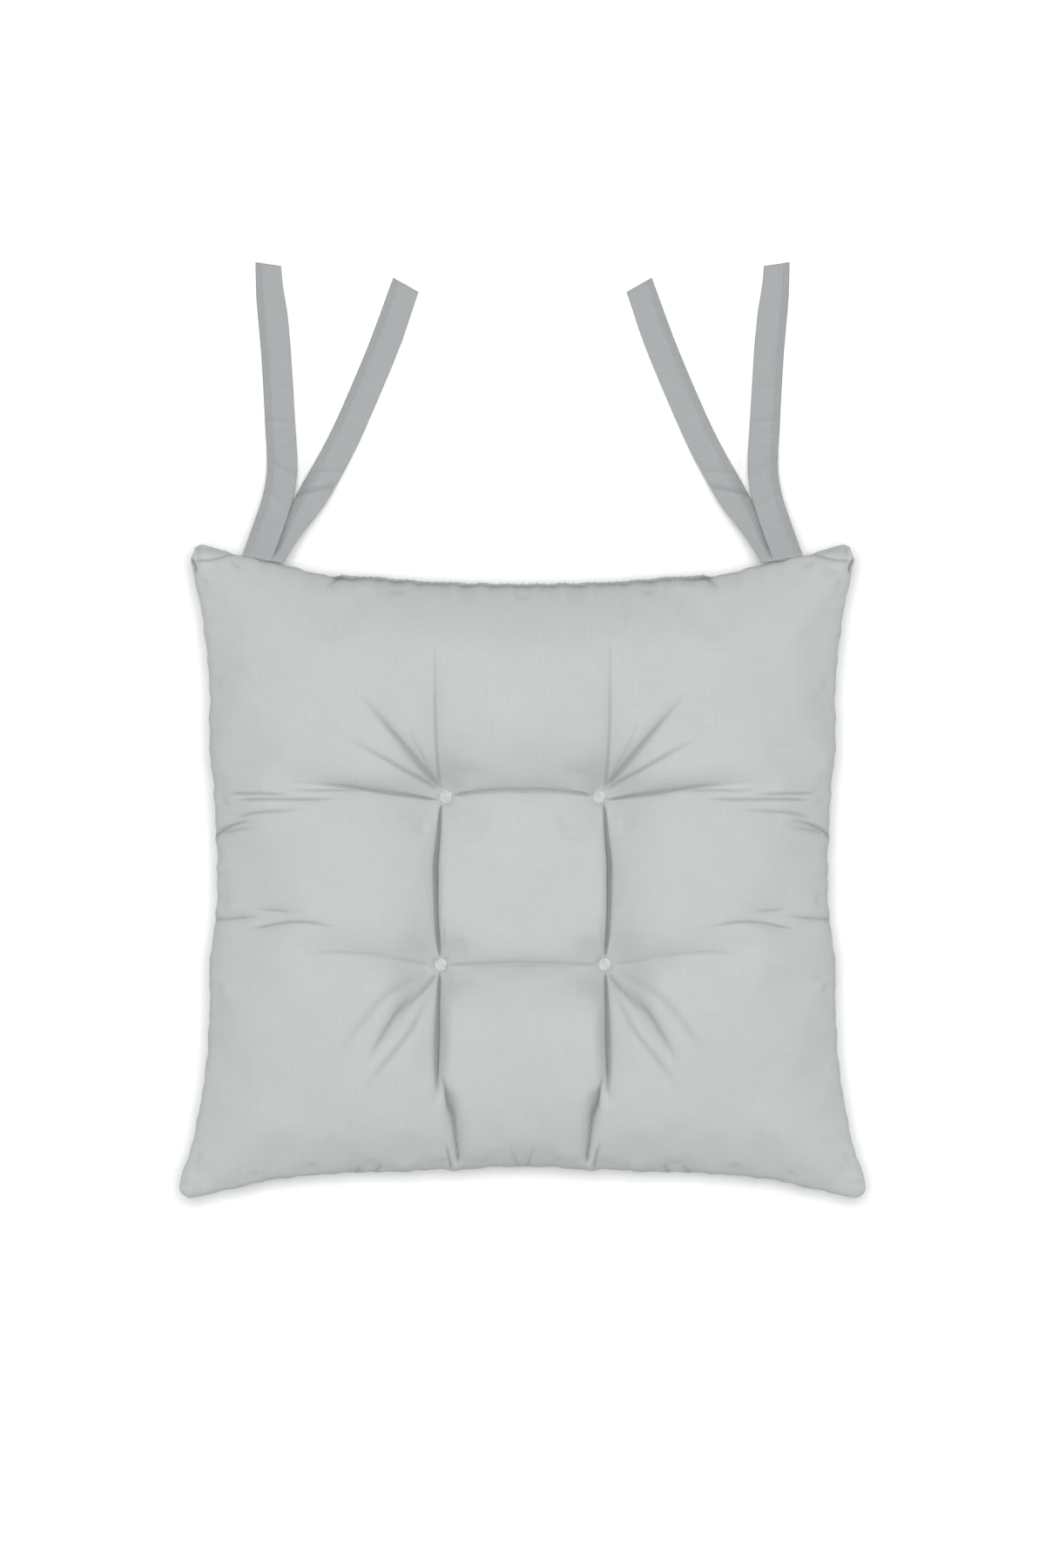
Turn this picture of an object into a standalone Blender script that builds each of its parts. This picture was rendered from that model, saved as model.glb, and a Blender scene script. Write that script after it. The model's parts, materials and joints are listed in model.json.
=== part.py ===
"""Square tie-on seat pad: a cover of two panels filled with loose fibre and quilted at four tufts,
with a pair of fabric ties caught in the rear seam beside each rear corner.

Metres, +Z up. The origin is the middle of the flat patch that the pad rests on, +X is to the
right and +Y to the rear, where the ties are.
"""

import math

import bmesh
import bpy
from mathutils import Matrix, Vector

# Outline of the cover. The sides pull in between the corners.
FRONT_CORNER_X = 0.200
REAR_CORNER_X = 0.193
WAIST_X = 0.178
FRONT_CORNER_Y = 0.190
REAR_CORNER_Y = 0.190
FRONT_MID_Y = 0.172
REAR_MID_Y = 0.168
SIDE_BOW = 2.0
END_BOW = 1.8

# Heights.
SEAM_Z = 0.026
CROWN_RISE = 0.037
UNDERSIDE_DROP = 0.034
PUFF_POWER = 0.5

# Cover cloth, seam thread and the gaps that keep neighbours apart.
CLOTH = 0.0006
SEAM_THREAD_R = 0.00025
GAP = 0.0003
SEAM_THREAD_INSET = 0.0005

# Tufts: the cover is flat under each tack, and rises round it.
TUFT_REAR = (0.0445, 0.043)
TUFT_FRONT = (0.0475, -0.054)
TUFT_HALF_THICKNESS = 0.008
TUFT_SEAT = 0.0075
TUFT_REACH = 0.032
TACK_R = 0.0038
TACK_HEIGHT = 0.0022
TACK_STEPS = 12
TUFTING_THREAD_R = 0.0006
THREAD_HOLE_CLEARANCE = 0.0004
THREAD_HOLE_SIDES = 10

# Cells of the cover's net, from the middle to the tuft and from the tuft to the rim.
INNER_CELLS = 3
OUTER_CELLS = 5

# Closing seam in the rear edge.
CLOSING_HALF_WIDTH = 0.109
LEAST_THREAD_SPAN = 0.004

# Ties. The outer and the inner tie of a pair share one line along the seam as their hinge.
TIE_WIDTH = 0.017
TIE_THICKNESS = 0.0012
TIE_NECK_THICKNESS = 0.0005
TIE_NECK_LENGTH = 0.004
TIE_FLOOR_CLEARANCE = 0.0002
TIE_DROOP_LENGTH = 0.110
TIE_SQUARE_UP_LENGTH = 0.018
TIE_END_SLANT = math.radians(14)
TIE_STATIONS = 15
HINGE_OFFSET = 0.00085
HINGE_X = 0.1445
STITCH_R = 0.00022
STITCH_GAP = 0.00035
STITCH_INSET = 0.004
STITCH_END_MARGIN = 0.003

# Middle of each tie's root, from the middle of the pair, along the seam towards the corner.
TIE_ROOTS = {"outer": 0.0103, "inner": -0.0090}

# Plan of each tie from its root: the distance towards the pad's middle line, and to the rear.
TIE_ROUTES = {
    "outer": (
        (0.0, 0.0),
        (0.0065, 0.0175),
        (0.0117, 0.0355),
        (0.0137, 0.0530),
        (0.0122, 0.0805),
        (0.0098, 0.1205),
        (0.0072, 0.1505),
        (0.0064, 0.1700),
    ),
    "inner": (
        (0.0, 0.0),
        (0.0090, 0.0190),
        (0.0190, 0.0390),
        (0.0307, 0.0623),
        (0.0398, 0.0825),
        (0.0570, 0.1230),
        (0.0712, 0.1615),
    ),
}

# Colour, roughness and metallic value of each finish.
FINISHES = {
    "cover_cloth": ((0.57, 0.60, 0.60), 0.92, 0.0),
    "tie_cloth": ((0.47, 0.49, 0.50), 0.92, 0.0),
    "filling_fibre": ((0.85, 0.85, 0.83), 1.0, 0.0),
    "tuft_thread": ((0.68, 0.70, 0.70), 0.8, 0.0),
    "sewing_thread": ((0.52, 0.54, 0.55), 0.8, 0.0),
}
SHARP_ANGLE = math.radians(50)


def clear_scene():
    for obj in list(bpy.data.objects):
        bpy.data.objects.remove(obj, do_unlink=True)


def make_collection(name):
    collection = bpy.data.collections.new(name)
    bpy.context.scene.collection.children.link(collection)
    return collection


def make_finish(name):
    colour, roughness, metallic = FINISHES[name]
    finish = bpy.data.materials.new(name)
    finish.use_nodes = True
    shader = finish.node_tree.nodes["Principled BSDF"]
    shader.inputs["Base Color"].default_value = (*colour, 1.0)
    shader.inputs["Roughness"].default_value = roughness
    shader.inputs["Metallic"].default_value = metallic
    return finish


def object_from_bmesh(name, bm, collection, finish=None, smooth=True):
    mesh = bpy.data.meshes.new(name)
    bm.to_mesh(mesh)
    bm.free()
    obj = bpy.data.objects.new(name, mesh)
    collection.objects.link(obj)
    if finish:
        mesh.materials.append(finish)
    if smooth:
        mesh.shade_smooth()
        mesh.set_sharp_from_angle(angle=SHARP_ANGLE)
    return obj


def tube(name, points, radius, collection, finish):
    """A round thread along the points, closed at both ends."""
    curve = bpy.data.curves.new(name, "CURVE")
    curve.dimensions = "3D"
    spline = curve.splines.new("POLY")
    spline.points.add(len(points) - 1)
    for spline_point, point in zip(spline.points, points):
        spline_point.co = (*point, 1.0)
    curve.bevel_depth = radius
    curve.bevel_resolution = 1
    curve.use_fill_caps = True
    curve.materials.append(finish)
    obj = bpy.data.objects.new(name, curve)
    collection.objects.link(obj)
    return obj


# --- plan of the pad: (u, v) runs from -1 to 1 each way, from rim to rim ---


def plan_point(u, v):
    """Where (u, v) lies in plan: the sides and ends bow in by a power of the distance along them."""
    corner_x = REAR_CORNER_X if v > 0 else FRONT_CORNER_X
    half_width = WAIST_X + (corner_x - WAIST_X) * abs(v) ** SIDE_BOW
    mid_y, corner_y = (REAR_MID_Y, REAR_CORNER_Y) if v > 0 else (FRONT_MID_Y, FRONT_CORNER_Y)
    half_depth = mid_y + (corner_y - mid_y) * abs(u) ** END_BOW
    return u * half_width, v * half_depth


def tufts():
    """Each tuft's name and place in plan."""
    places = {}
    for side_name, side in (("left", -1), ("right", 1)):
        places[f"rear_{side_name}"] = (side * TUFT_REAR[0], TUFT_REAR[1])
        places[f"front_{side_name}"] = (side * TUFT_FRONT[0], TUFT_FRONT[1])
    return places


def half_stations(tuft_place, rim):
    """Net lines from the middle to the rim, as shares of the rim's distance. One cell is the tuft's
    flat seat, and the cells outside it get narrower towards the rim."""
    seat_start = (tuft_place - TUFT_SEAT) / rim
    seat_end = (tuft_place + TUFT_SEAT) / rim
    inner = [seat_start * i / INNER_CELLS for i in range(INNER_CELLS + 1)]
    outer = [
        seat_end + (1 - seat_end) * math.sin(math.pi / 2 * i / OUTER_CELLS)
        for i in range(OUTER_CELLS + 1)
    ]
    return inner + outer


def stations_across():
    half = half_stations((TUFT_REAR[0] + TUFT_FRONT[0]) / 2, WAIST_X)
    return [-u for u in reversed(half[1:])] + half


def stations_deep():
    front = half_stations(-TUFT_FRONT[1], FRONT_MID_Y)
    rear = half_stations(TUFT_REAR[1], REAR_MID_Y)
    return [-v for v in reversed(front[1:])] + rear


def rim_loop(inset):
    """The rim's corners in plan by column and row, moved in square to the edges beside them, so that
    every edge of the loop lies the inset away from the rim."""
    across = stations_across()
    deep = stations_deep()
    last_column, last_row = len(across) - 1, len(deep) - 1
    loop = [(column, 0) for column in range(last_column)]
    loop += [(last_column, row) for row in range(last_row)]
    loop += [(column, last_row) for column in range(last_column, 0, -1)]
    loop += [(0, row) for row in range(last_row, 0, -1)]
    points = [Vector(plan_point(across[column], deep[row])) for column, row in loop]
    moved = {}
    for i, place in enumerate(loop):
        before = (points[i] - points[i - 1]).normalized()
        after = (points[(i + 1) % len(points)] - points[i]).normalized()
        inward_before = Vector((-before.y, before.x))
        inward_after = Vector((-after.y, after.x))
        share = 1 + inward_before.dot(inward_after)
        moved[place] = points[i] + (inward_before + inward_after) * inset / share
    return moved


def puff(u, v):
    """How far the cover stands off the seam at (u, v): 0 at the rim, 1 in the middle."""
    return (max(0.0, 1 - u * u) * max(0.0, 1 - v * v)) ** PUFF_POWER


def tuft_pull(x, y):
    """1 on a tuft's flat seat, falling smoothly to 0 at the tuft's reach."""
    seat_radius = TUFT_SEAT * math.sqrt(2) + abs(TUFT_FRONT[0] - TUFT_REAR[0])
    nearest = min(math.hypot(x - tuft_x, y - tuft_y) for tuft_x, tuft_y in tufts().values())
    share = max(0.0, nearest - seat_radius) / TUFT_REACH
    return (1 - min(share, 1.0) ** 2) ** 2


def rim_half_gap():
    """From the middle of the seam to the cloth above or below it."""
    return SEAM_THREAD_R + GAP


def top_height(u, v):
    """Height of the top panel's outer face."""
    x, y = plan_point(u, v)
    rim = SEAM_Z + rim_half_gap() + CLOTH
    pillow = rim + (CROWN_RISE - rim_half_gap() - CLOTH) * puff(u, v)
    pull = tuft_pull(x, y)
    return pillow * (1 - pull) + (SEAM_Z + TUFT_HALF_THICKNESS) * pull


def bottom_height(u, v):
    """Height of the bottom panel's outer face, flat where the pad rests."""
    x, y = plan_point(u, v)
    rim = SEAM_Z - rim_half_gap() - CLOTH
    pillow = max(0.0, rim - UNDERSIDE_DROP * puff(u, v))
    pull = tuft_pull(x, y)
    return pillow * (1 - pull) + (SEAM_Z - TUFT_HALF_THICKNESS) * pull


# --- cover and filling ---


def net(height):
    """The pad's net as one open sheet at the given height function. Each vertex keeps its column and
    row, which an extrusion copies to the verts it makes."""
    across = stations_across()
    deep = stations_deep()
    bm = bmesh.new()
    column_layer = bm.verts.layers.int.new("column")
    row_layer = bm.verts.layers.int.new("row")
    bmesh.ops.create_grid(bm, x_segments=len(across) - 1, y_segments=len(deep) - 1, size=1)
    for vert in bm.verts:
        vert[column_layer] = round((vert.co.x + 1) / 2 * (len(across) - 1))
        vert[row_layer] = round((vert.co.y + 1) / 2 * (len(deep) - 1))
        u, v = across[vert[column_layer]], deep[vert[row_layer]]
        vert.co = (*plan_point(u, v), height(u, v))
    bmesh.ops.triangulate(bm, faces=bm.faces[:], quad_method="FIXED")
    return bm, column_layer, row_layer


def thicken(bm, offset):
    """Closes an open sheet by extruding it straight up or down."""
    made = bmesh.ops.extrude_face_region(bm, geom=bm.faces[:], use_keep_orig=True)
    moved = [item for item in made["geom"] if isinstance(item, bmesh.types.BMVert)]
    bmesh.ops.translate(bm, verts=moved, vec=(0, 0, offset))
    bmesh.ops.recalc_face_normals(bm, faces=bm.faces[:])


def cut_thread_holes(obj, cutter):
    modifier = obj.modifiers.new("thread_holes", "BOOLEAN")
    modifier.operation = "DIFFERENCE"
    modifier.object = cutter


def make_thread_hole_cutter(collection):
    """Four upright rods, one through each tuft, longer than the pad is thick."""
    radius = TUFTING_THREAD_R + THREAD_HOLE_CLEARANCE
    bm = bmesh.new()
    for place in tufts().values():
        bmesh.ops.create_cone(
            bm,
            cap_ends=True,
            segments=THREAD_HOLE_SIDES,
            radius1=radius,
            radius2=radius,
            depth=2 * (SEAM_Z + CROWN_RISE),
            matrix=Matrix.Translation((*place, SEAM_Z)),
        )
    cutter = object_from_bmesh("tuft_hole_cutter", bm, collection, smooth=False)
    cutter.hide_render = True
    cutter.display_type = "WIRE"
    return cutter


def make_cover_panel(name, height, inward, collection, finish, cutter):
    bm, *_ = net(height)
    thicken(bm, inward * CLOTH)
    panel = object_from_bmesh(name, bm, collection, finish)
    cut_thread_holes(panel, cutter)


def make_filling(collection, finish, cutter):
    """The fibre fills the cover up to a small gap, and stops short of the seam thread."""
    clear = CLOTH + GAP
    inset = SEAM_THREAD_INSET + SEAM_THREAD_R + GAP
    across = stations_across()
    deep = stations_deep()
    bm, column_layer, row_layer = net(lambda u, v: top_height(u, v) - clear)
    made = bmesh.ops.extrude_face_region(bm, geom=bm.faces[:], use_keep_orig=True)
    for vert in (item for item in made["geom"] if isinstance(item, bmesh.types.BMVert)):
        vert.co.z = bottom_height(across[vert[column_layer]], deep[vert[row_layer]]) + clear
    rim = rim_loop(inset)
    for vert in bm.verts:
        place = (vert[column_layer], vert[row_layer])
        if place in rim:
            vert.co.xy = rim[place]
    bmesh.ops.recalc_face_normals(bm, faces=bm.faces[:])
    filling = object_from_bmesh("fibre_filling", bm, collection, finish)
    cut_thread_holes(filling, cutter)


# --- seam threads ---


def make_seam_threads(collection, finish):
    """The machine seam starts at one end of the closing seam and runs right round to the other. Its
    points are the net's own, so that it stays between the two panels."""
    loop = rim_loop(SEAM_THREAD_INSET)
    last_column, last_row = len(stations_across()) - 1, len(stations_deep()) - 1
    rear = [loop[column, last_row] for column in range(last_column + 1)]

    def rear_point(x):
        """The rear edge of the loop at x."""
        after = next(i for i, point in enumerate(rear) if point.x > x)
        share = (x - rear[after - 1].x) / (rear[after].x - rear[after - 1].x)
        return rear[after - 1].lerp(rear[after], share)

    end_x = CLOSING_HALF_WIDTH + GAP
    beside = [point for point in rear if point.x > end_x + LEAST_THREAD_SPAN]
    beside_left = [point for point in rear if point.x < -end_x - LEAST_THREAD_SPAN]
    middle = [point for point in rear if abs(point.x) < CLOSING_HALF_WIDTH - LEAST_THREAD_SPAN]
    route = [rear_point(-end_x), *reversed(beside_left)]
    route += [loop[0, row] for row in range(last_row - 1, 0, -1)]
    route += [loop[column, 0] for column in range(last_column + 1)]
    route += [loop[last_column, row] for row in range(1, last_row)]
    route += [*reversed(beside), rear_point(end_x)]
    closing = [rear_point(-CLOSING_HALF_WIDTH), *middle, rear_point(CLOSING_HALF_WIDTH)]
    for name, points in (("edge_seam_thread", route), ("rear_closing_stitching", closing)):
        tube(name, [(*point, SEAM_Z) for point in points], SEAM_THREAD_R, collection, finish)


# --- tufts ---


def make_tack(name, place, z, facing, collection, finish):
    """A low dome turned about +Z, its flat side towards the cloth."""
    profile = (
        (TACK_R * 0.35, TACK_HEIGHT),
        (TACK_R * 0.80, TACK_HEIGHT * 0.78),
        (TACK_R, TACK_HEIGHT * 0.35),
        (TACK_R * 0.85, 0.0),
    )
    bm = bmesh.new()
    verts = [bm.verts.new((0, 0, TACK_HEIGHT))]
    verts += [bm.verts.new((radius, 0, height)) for radius, height in profile]
    verts += [bm.verts.new((0, 0, 0))]
    for first, second in zip(verts, verts[1:]):
        bm.edges.new((first, second))
    tack = object_from_bmesh(name, bm, collection, finish, smooth=False)
    screw = tack.modifiers.new("turn", "SCREW")
    screw.steps = TACK_STEPS
    screw.render_steps = TACK_STEPS
    screw.use_merge_vertices = True
    screw.merge_threshold = 0.00001
    screw.use_smooth_shade = True
    tack.location = (*place, z)
    if facing < 0:
        tack.rotation_euler = (math.pi, 0, 0)


def make_tufts(collection, tack_finish, thread_finish):
    top = SEAM_Z + TUFT_HALF_THICKNESS
    bottom = SEAM_Z - TUFT_HALF_THICKNESS
    for name, place in tufts().items():
        make_tack(f"tuft_tack_top_{name}", place, top + GAP, 1, collection, tack_finish)
        make_tack(f"tuft_tack_bottom_{name}", place, bottom - GAP, -1, collection, tack_finish)
        ends = [(*place, bottom), (*place, top)]
        tube(f"tufting_thread_{name}", ends, TUFTING_THREAD_R, collection, thread_finish)


# --- ties ---


def hinge_line(side):
    """The middle of a pair's hinge and the way along it towards the corner. The line touches the rim
    between the two ties' far edges, moved out by the hinge's offset."""
    reach = TIE_ROOTS["outer"] + TIE_WIDTH / 2
    ends = [(HINGE_X + reach * way) / REAR_CORNER_X for way in (-1, 1)]
    start, end = (Vector(plan_point(u, 1)) for u in ends)
    along = (end - start).normalized()
    outward = Vector((-along.y, along.x))
    rim = [Vector(plan_point(u, 1)) for u in (*ends, *stations_across()) if ends[0] <= u <= ends[1]]
    bulge = max((point - start).dot(outward) for point in rim)
    middle = (start + end) / 2 + outward * (bulge + HINGE_OFFSET)
    return Vector((side * middle.x, middle.y, SEAM_Z)), Vector((side * along.x, along.y, 0))


def catmull_rom(points, share):
    """A smooth curve through the points. The share runs from 0 at the first to 1 at the last."""
    spans = len(points) - 1
    place = min(share * spans, spans - 1e-9)
    i = int(place)
    t = place - i
    p1, p2 = Vector(points[i]), Vector(points[i + 1])
    p0 = Vector(points[i - 1]) if i > 0 else 2 * p1 - p2
    p3 = Vector(points[i + 2]) if i + 2 < len(points) else 2 * p2 - p1
    return 0.5 * (
        2 * p1
        + (p2 - p0) * t
        + (2 * p0 - 5 * p1 + 4 * p2 - p3) * t * t
        + (3 * p1 - p0 - 3 * p2 + p3) * t * t * t
    )


def tie_frames(place, side):
    """Stations along a tie: the middle of the strip, the way across it, and how thick it is."""
    hinge_middle, towards_corner = hinge_line(side)
    root = (hinge_middle + towards_corner * TIE_ROOTS[place]).xy
    plan = [root + Vector((-side * inward, rearward)) for inward, rearward in TIE_ROUTES[place]]
    middles = [catmull_rom(plan, i / (TIE_STATIONS - 1)) for i in range(TIE_STATIONS)]
    floor_z = TIE_FLOOR_CLEARANCE + TIE_THICKNESS / 2
    frames = []
    length = 0.0
    for i, middle in enumerate(middles):
        before, after = middles[max(i - 1, 0)], middles[min(i + 1, TIE_STATIONS - 1)]
        ahead = (after - before).normalized()
        square = Vector((ahead.y, -ahead.x)) * side
        if i:
            length += (middle - middles[i - 1]).length
        turn = min(1.0, length / TIE_SQUARE_UP_LENGTH)
        across = (towards_corner.xy * (1 - turn) + square * turn).normalized()
        if i == TIE_STATIONS - 1:
            across += ahead * math.tan(TIE_END_SLANT)
        droop = max(0.0, 1 - length / TIE_DROOP_LENGTH) ** 2
        z = floor_z + (SEAM_Z - floor_z) * droop
        neck = min(1.0, length / TIE_NECK_LENGTH)
        thick = TIE_NECK_THICKNESS + (TIE_THICKNESS - TIE_NECK_THICKNESS) * neck
        frames.append((Vector((*middle, z)), Vector((*across, 0)), thick))
    return frames


def make_tie(name, frames, hinge, collection, finish):
    """A flat strip lofted through its stations, with its place taken from the hinge."""
    bm = bmesh.new()
    rings = []
    for middle, across, thick in frames:
        half = across * TIE_WIDTH / 2
        lift = Vector((0, 0, thick / 2))
        corners = (middle - half + lift, middle + half + lift, middle + half - lift, middle - half - lift)
        rings.append([bm.verts.new(corner - hinge.location) for corner in corners])
    for first, second in zip(rings, rings[1:]):
        for i in range(4):
            j = (i + 1) % 4
            bm.faces.new((first[i], first[j], second[j], second[i]))
    bm.faces.new(rings[0])
    bm.faces.new(list(reversed(rings[-1])))
    bmesh.ops.recalc_face_normals(bm, faces=bm.faces[:])
    tie = object_from_bmesh(name, bm, collection, finish)
    tie.parent = hinge


def make_tie_stitching(name, frames, hinge, collection, finish):
    """A line of stitching on the tie's upper face, near its outer edge."""
    points = []
    for middle, across, thick in frames[1:]:
        outer = across * (TIE_WIDTH / 2 - STITCH_INSET)
        lift = Vector((0, 0, thick / 2 + STITCH_GAP + STITCH_R))
        points.append(middle + outer + lift - hinge.location)
    points[-1] = points[-1] + (points[-2] - points[-1]).normalized() * STITCH_END_MARGIN
    stitching = tube(name, points, STITCH_R, collection, finish)
    stitching.parent = hinge


def make_ties(collection, tie_finish, thread_finish):
    for side_name, side in (("left", -1), ("right", 1)):
        for place in TIE_ROUTES:
            name = f"{side_name}_{place}"
            hinge = bpy.data.objects.new(f"tie_hinge_{name}", None)
            collection.objects.link(hinge)
            hinge.location, _ = hinge_line(side)
            frames = tie_frames(place, side)
            make_tie(f"tie_{name}", frames, hinge, collection, tie_finish)
            make_tie_stitching(f"tie_stitching_{name}", frames, hinge, collection, thread_finish)


def main():
    clear_scene()
    pad = make_collection("chair_seat_pad")
    cutters = make_collection("cutters")
    finishes = {name: make_finish(name) for name in FINISHES}
    cutter = make_thread_hole_cutter(cutters)
    cover = finishes["cover_cloth"]
    make_cover_panel("cover_top_panel", top_height, -1, pad, cover, cutter)
    make_cover_panel("cover_bottom_panel", bottom_height, 1, pad, cover, cutter)
    make_filling(pad, finishes["filling_fibre"], cutter)
    make_seam_threads(pad, finishes["sewing_thread"])
    make_tufts(pad, finishes["tuft_thread"], finishes["tuft_thread"])
    make_ties(pad, finishes["tie_cloth"], finishes["sewing_thread"])


main()
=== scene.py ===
# Tufted chair seat pad with two pairs of cloth ties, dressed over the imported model
import json
import math
import bpy
import numpy as np
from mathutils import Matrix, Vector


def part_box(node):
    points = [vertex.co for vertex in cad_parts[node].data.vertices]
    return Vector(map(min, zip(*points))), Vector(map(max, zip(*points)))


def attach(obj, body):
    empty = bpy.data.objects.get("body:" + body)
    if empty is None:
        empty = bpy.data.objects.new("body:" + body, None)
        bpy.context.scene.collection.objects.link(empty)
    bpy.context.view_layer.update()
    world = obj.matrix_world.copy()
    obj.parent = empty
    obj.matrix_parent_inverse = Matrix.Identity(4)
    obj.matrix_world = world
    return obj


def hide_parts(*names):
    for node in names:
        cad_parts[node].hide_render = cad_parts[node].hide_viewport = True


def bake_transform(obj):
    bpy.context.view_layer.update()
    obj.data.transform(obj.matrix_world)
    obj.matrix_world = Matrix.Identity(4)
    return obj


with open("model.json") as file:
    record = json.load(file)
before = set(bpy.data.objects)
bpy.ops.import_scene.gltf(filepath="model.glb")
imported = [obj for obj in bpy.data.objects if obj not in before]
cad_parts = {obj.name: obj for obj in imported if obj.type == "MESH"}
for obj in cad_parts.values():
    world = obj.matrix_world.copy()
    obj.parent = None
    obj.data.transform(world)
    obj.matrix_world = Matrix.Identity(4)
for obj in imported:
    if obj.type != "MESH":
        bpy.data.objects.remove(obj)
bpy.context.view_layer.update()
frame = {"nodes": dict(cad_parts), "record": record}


# ---------- small helpers for curves, grids and meshes

def smooth(t):
    # Eases 0 to 1: three t squared less two t cubed, held flat outside
    t = np.clip(t, 0.0, 1.0)
    return t * t * (3.0 - 2.0 * t)


def hill(distance, width):
    # A round hill: one less the square of distance over width, squared, and nothing outside
    q = np.clip(np.abs(distance) / width, 0.0, 1.0)
    return (1.0 - q * q) ** 2


def unit(vectors):
    return vectors / np.maximum(np.linalg.norm(vectors, axis=-1, keepdims=True), 1e-12)


def curveThrough(points, count):
    # An even walk of count places along the rounded curve (Catmull-Rom) through the points
    points = np.asarray(points, float)
    ends = np.concatenate([[2 * points[0] - points[1]], points, [2 * points[-1] - points[-2]]])
    t = np.linspace(0, 1, 16, endpoint=False)[:, None, None]
    a, b, c, d = ends[:-3], ends[1:-2], ends[2:-1], ends[3:]
    fine = 0.5 * (2 * b + (c - a) * t + (2 * a - 5 * b + 4 * c - d) * t**2 + (3 * b - a - 3 * c + d) * t**3)
    fine = np.concatenate([fine.transpose(1, 0, 2).reshape(-1, points.shape[1]), points[-1:]])
    along = np.concatenate([[0], np.cumsum(np.linalg.norm(np.diff(fine, axis=0), axis=1))])
    even = np.linspace(0, along[-1], count)
    return np.stack([np.interp(even, along, fine[:, k]) for k in range(fine.shape[1])], 1)


def gridFaces(rows, cols, loopRows=False, loopCols=False):
    # The four corners of each cell, turning left when columns run right and rows run up
    r = np.arange(rows if loopRows else rows - 1)[:, None]
    c = np.arange(cols if loopCols else cols - 1)[None, :]
    r2, c2 = (r + 1) % rows, (c + 1) % cols
    return np.stack([r * cols + c, r * cols + c2, r2 * cols + c2, r2 * cols + c], -1).reshape(-1, 4)


def meshPiece(name, points, faces, material, uv=None):
    # Puts whole arrays of points and four-cornered faces into a new mesh; uv gives a pair for each point
    points = np.asarray(points, np.float32).reshape(-1, 3)
    corners = np.asarray(faces, np.int32).ravel()
    mesh = bpy.data.meshes.new(name)
    mesh.vertices.add(len(points))
    mesh.vertices.foreach_set("co", points.ravel())
    mesh.loops.add(len(corners))
    mesh.loops.foreach_set("vertex_index", corners)
    mesh.polygons.add(len(corners) // 4)
    mesh.polygons.foreach_set("loop_start", np.arange(0, len(corners), 4, dtype=np.int32))
    mesh.polygons.foreach_set("use_smooth", np.ones(len(corners) // 4, bool))
    if uv is not None:
        layer = mesh.uv_layers.new(name="weave")
        layer.data.foreach_set("uv", np.asarray(uv, np.float32).reshape(-1, 2)[corners].ravel())
    mesh.update(calc_edges=True)
    mesh.validate()
    if material:
        mesh.materials.append(material)
    piece = bpy.data.objects.new(name, mesh)
    bpy.context.scene.collection.objects.link(piece)
    return piece


def threadTube(paths, radii, sides=6):
    # Round threads along many paths of equal length: each ring is the path point plus radius times
    # (cosine across + sine up), and both ends are drawn in to a point. Returns points and faces.
    paths = np.asarray(paths, float)
    count, steps = paths.shape[:2]
    ahead = unit(np.gradient(paths, axis=1))
    side = unit(np.cross(ahead, np.broadcast_to([0.03, 0.02, 1.0], ahead.shape)))
    up = np.cross(side, ahead)
    turn = np.linspace(0, 2 * math.pi, sides, endpoint=False)
    radii = np.broadcast_to(radii, (count, steps)).copy()
    radii[:, 0] = radii[:, -1] = 2e-5
    ring = (paths[:, :, None] + radii[:, :, None, None]
            * (np.cos(turn)[:, None] * side[:, :, None] + np.sin(turn)[:, None] * up[:, :, None]))
    one = gridFaces(steps, sides, loopCols=True)
    faces = (one[None] + (np.arange(count) * steps * sides)[:, None, None]).reshape(-1, 4)
    return ring.reshape(-1, 3), faces


# ---------- finishes

class Number:
    # A socket's value that takes part in sums: each sign adds one Math node
    def __init__(self, finish, socket):
        self.finish, self.socket = finish, socket

    def sum(self, operation, first, second=None, third=None):
        values = [v for v in (first, second, third) if v is not None]
        made = self.finish.add("ShaderNodeMath", {"operation": operation}, dict(enumerate(values)))
        return Number(self.finish, made.outputs[0])

    def __add__(self, other): return self.sum("ADD", self, other)
    def __radd__(self, other): return self.sum("ADD", other, self)
    def __sub__(self, other): return self.sum("SUBTRACT", self, other)
    def __rsub__(self, other): return self.sum("SUBTRACT", other, self)
    def __mul__(self, other): return self.sum("MULTIPLY", self, other)
    def __rmul__(self, other): return self.sum("MULTIPLY", other, self)
    def __truediv__(self, other): return self.sum("DIVIDE", self, other)
    def __pow__(self, other): return self.sum("POWER", self, other)
    def sine(self): return self.sum("SINE", self)
    def size(self): return self.sum("ABSOLUTE", self)
    def between(self, low, high): return self.sum("MINIMUM", self.sum("MAXIMUM", self, low), high)


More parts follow.
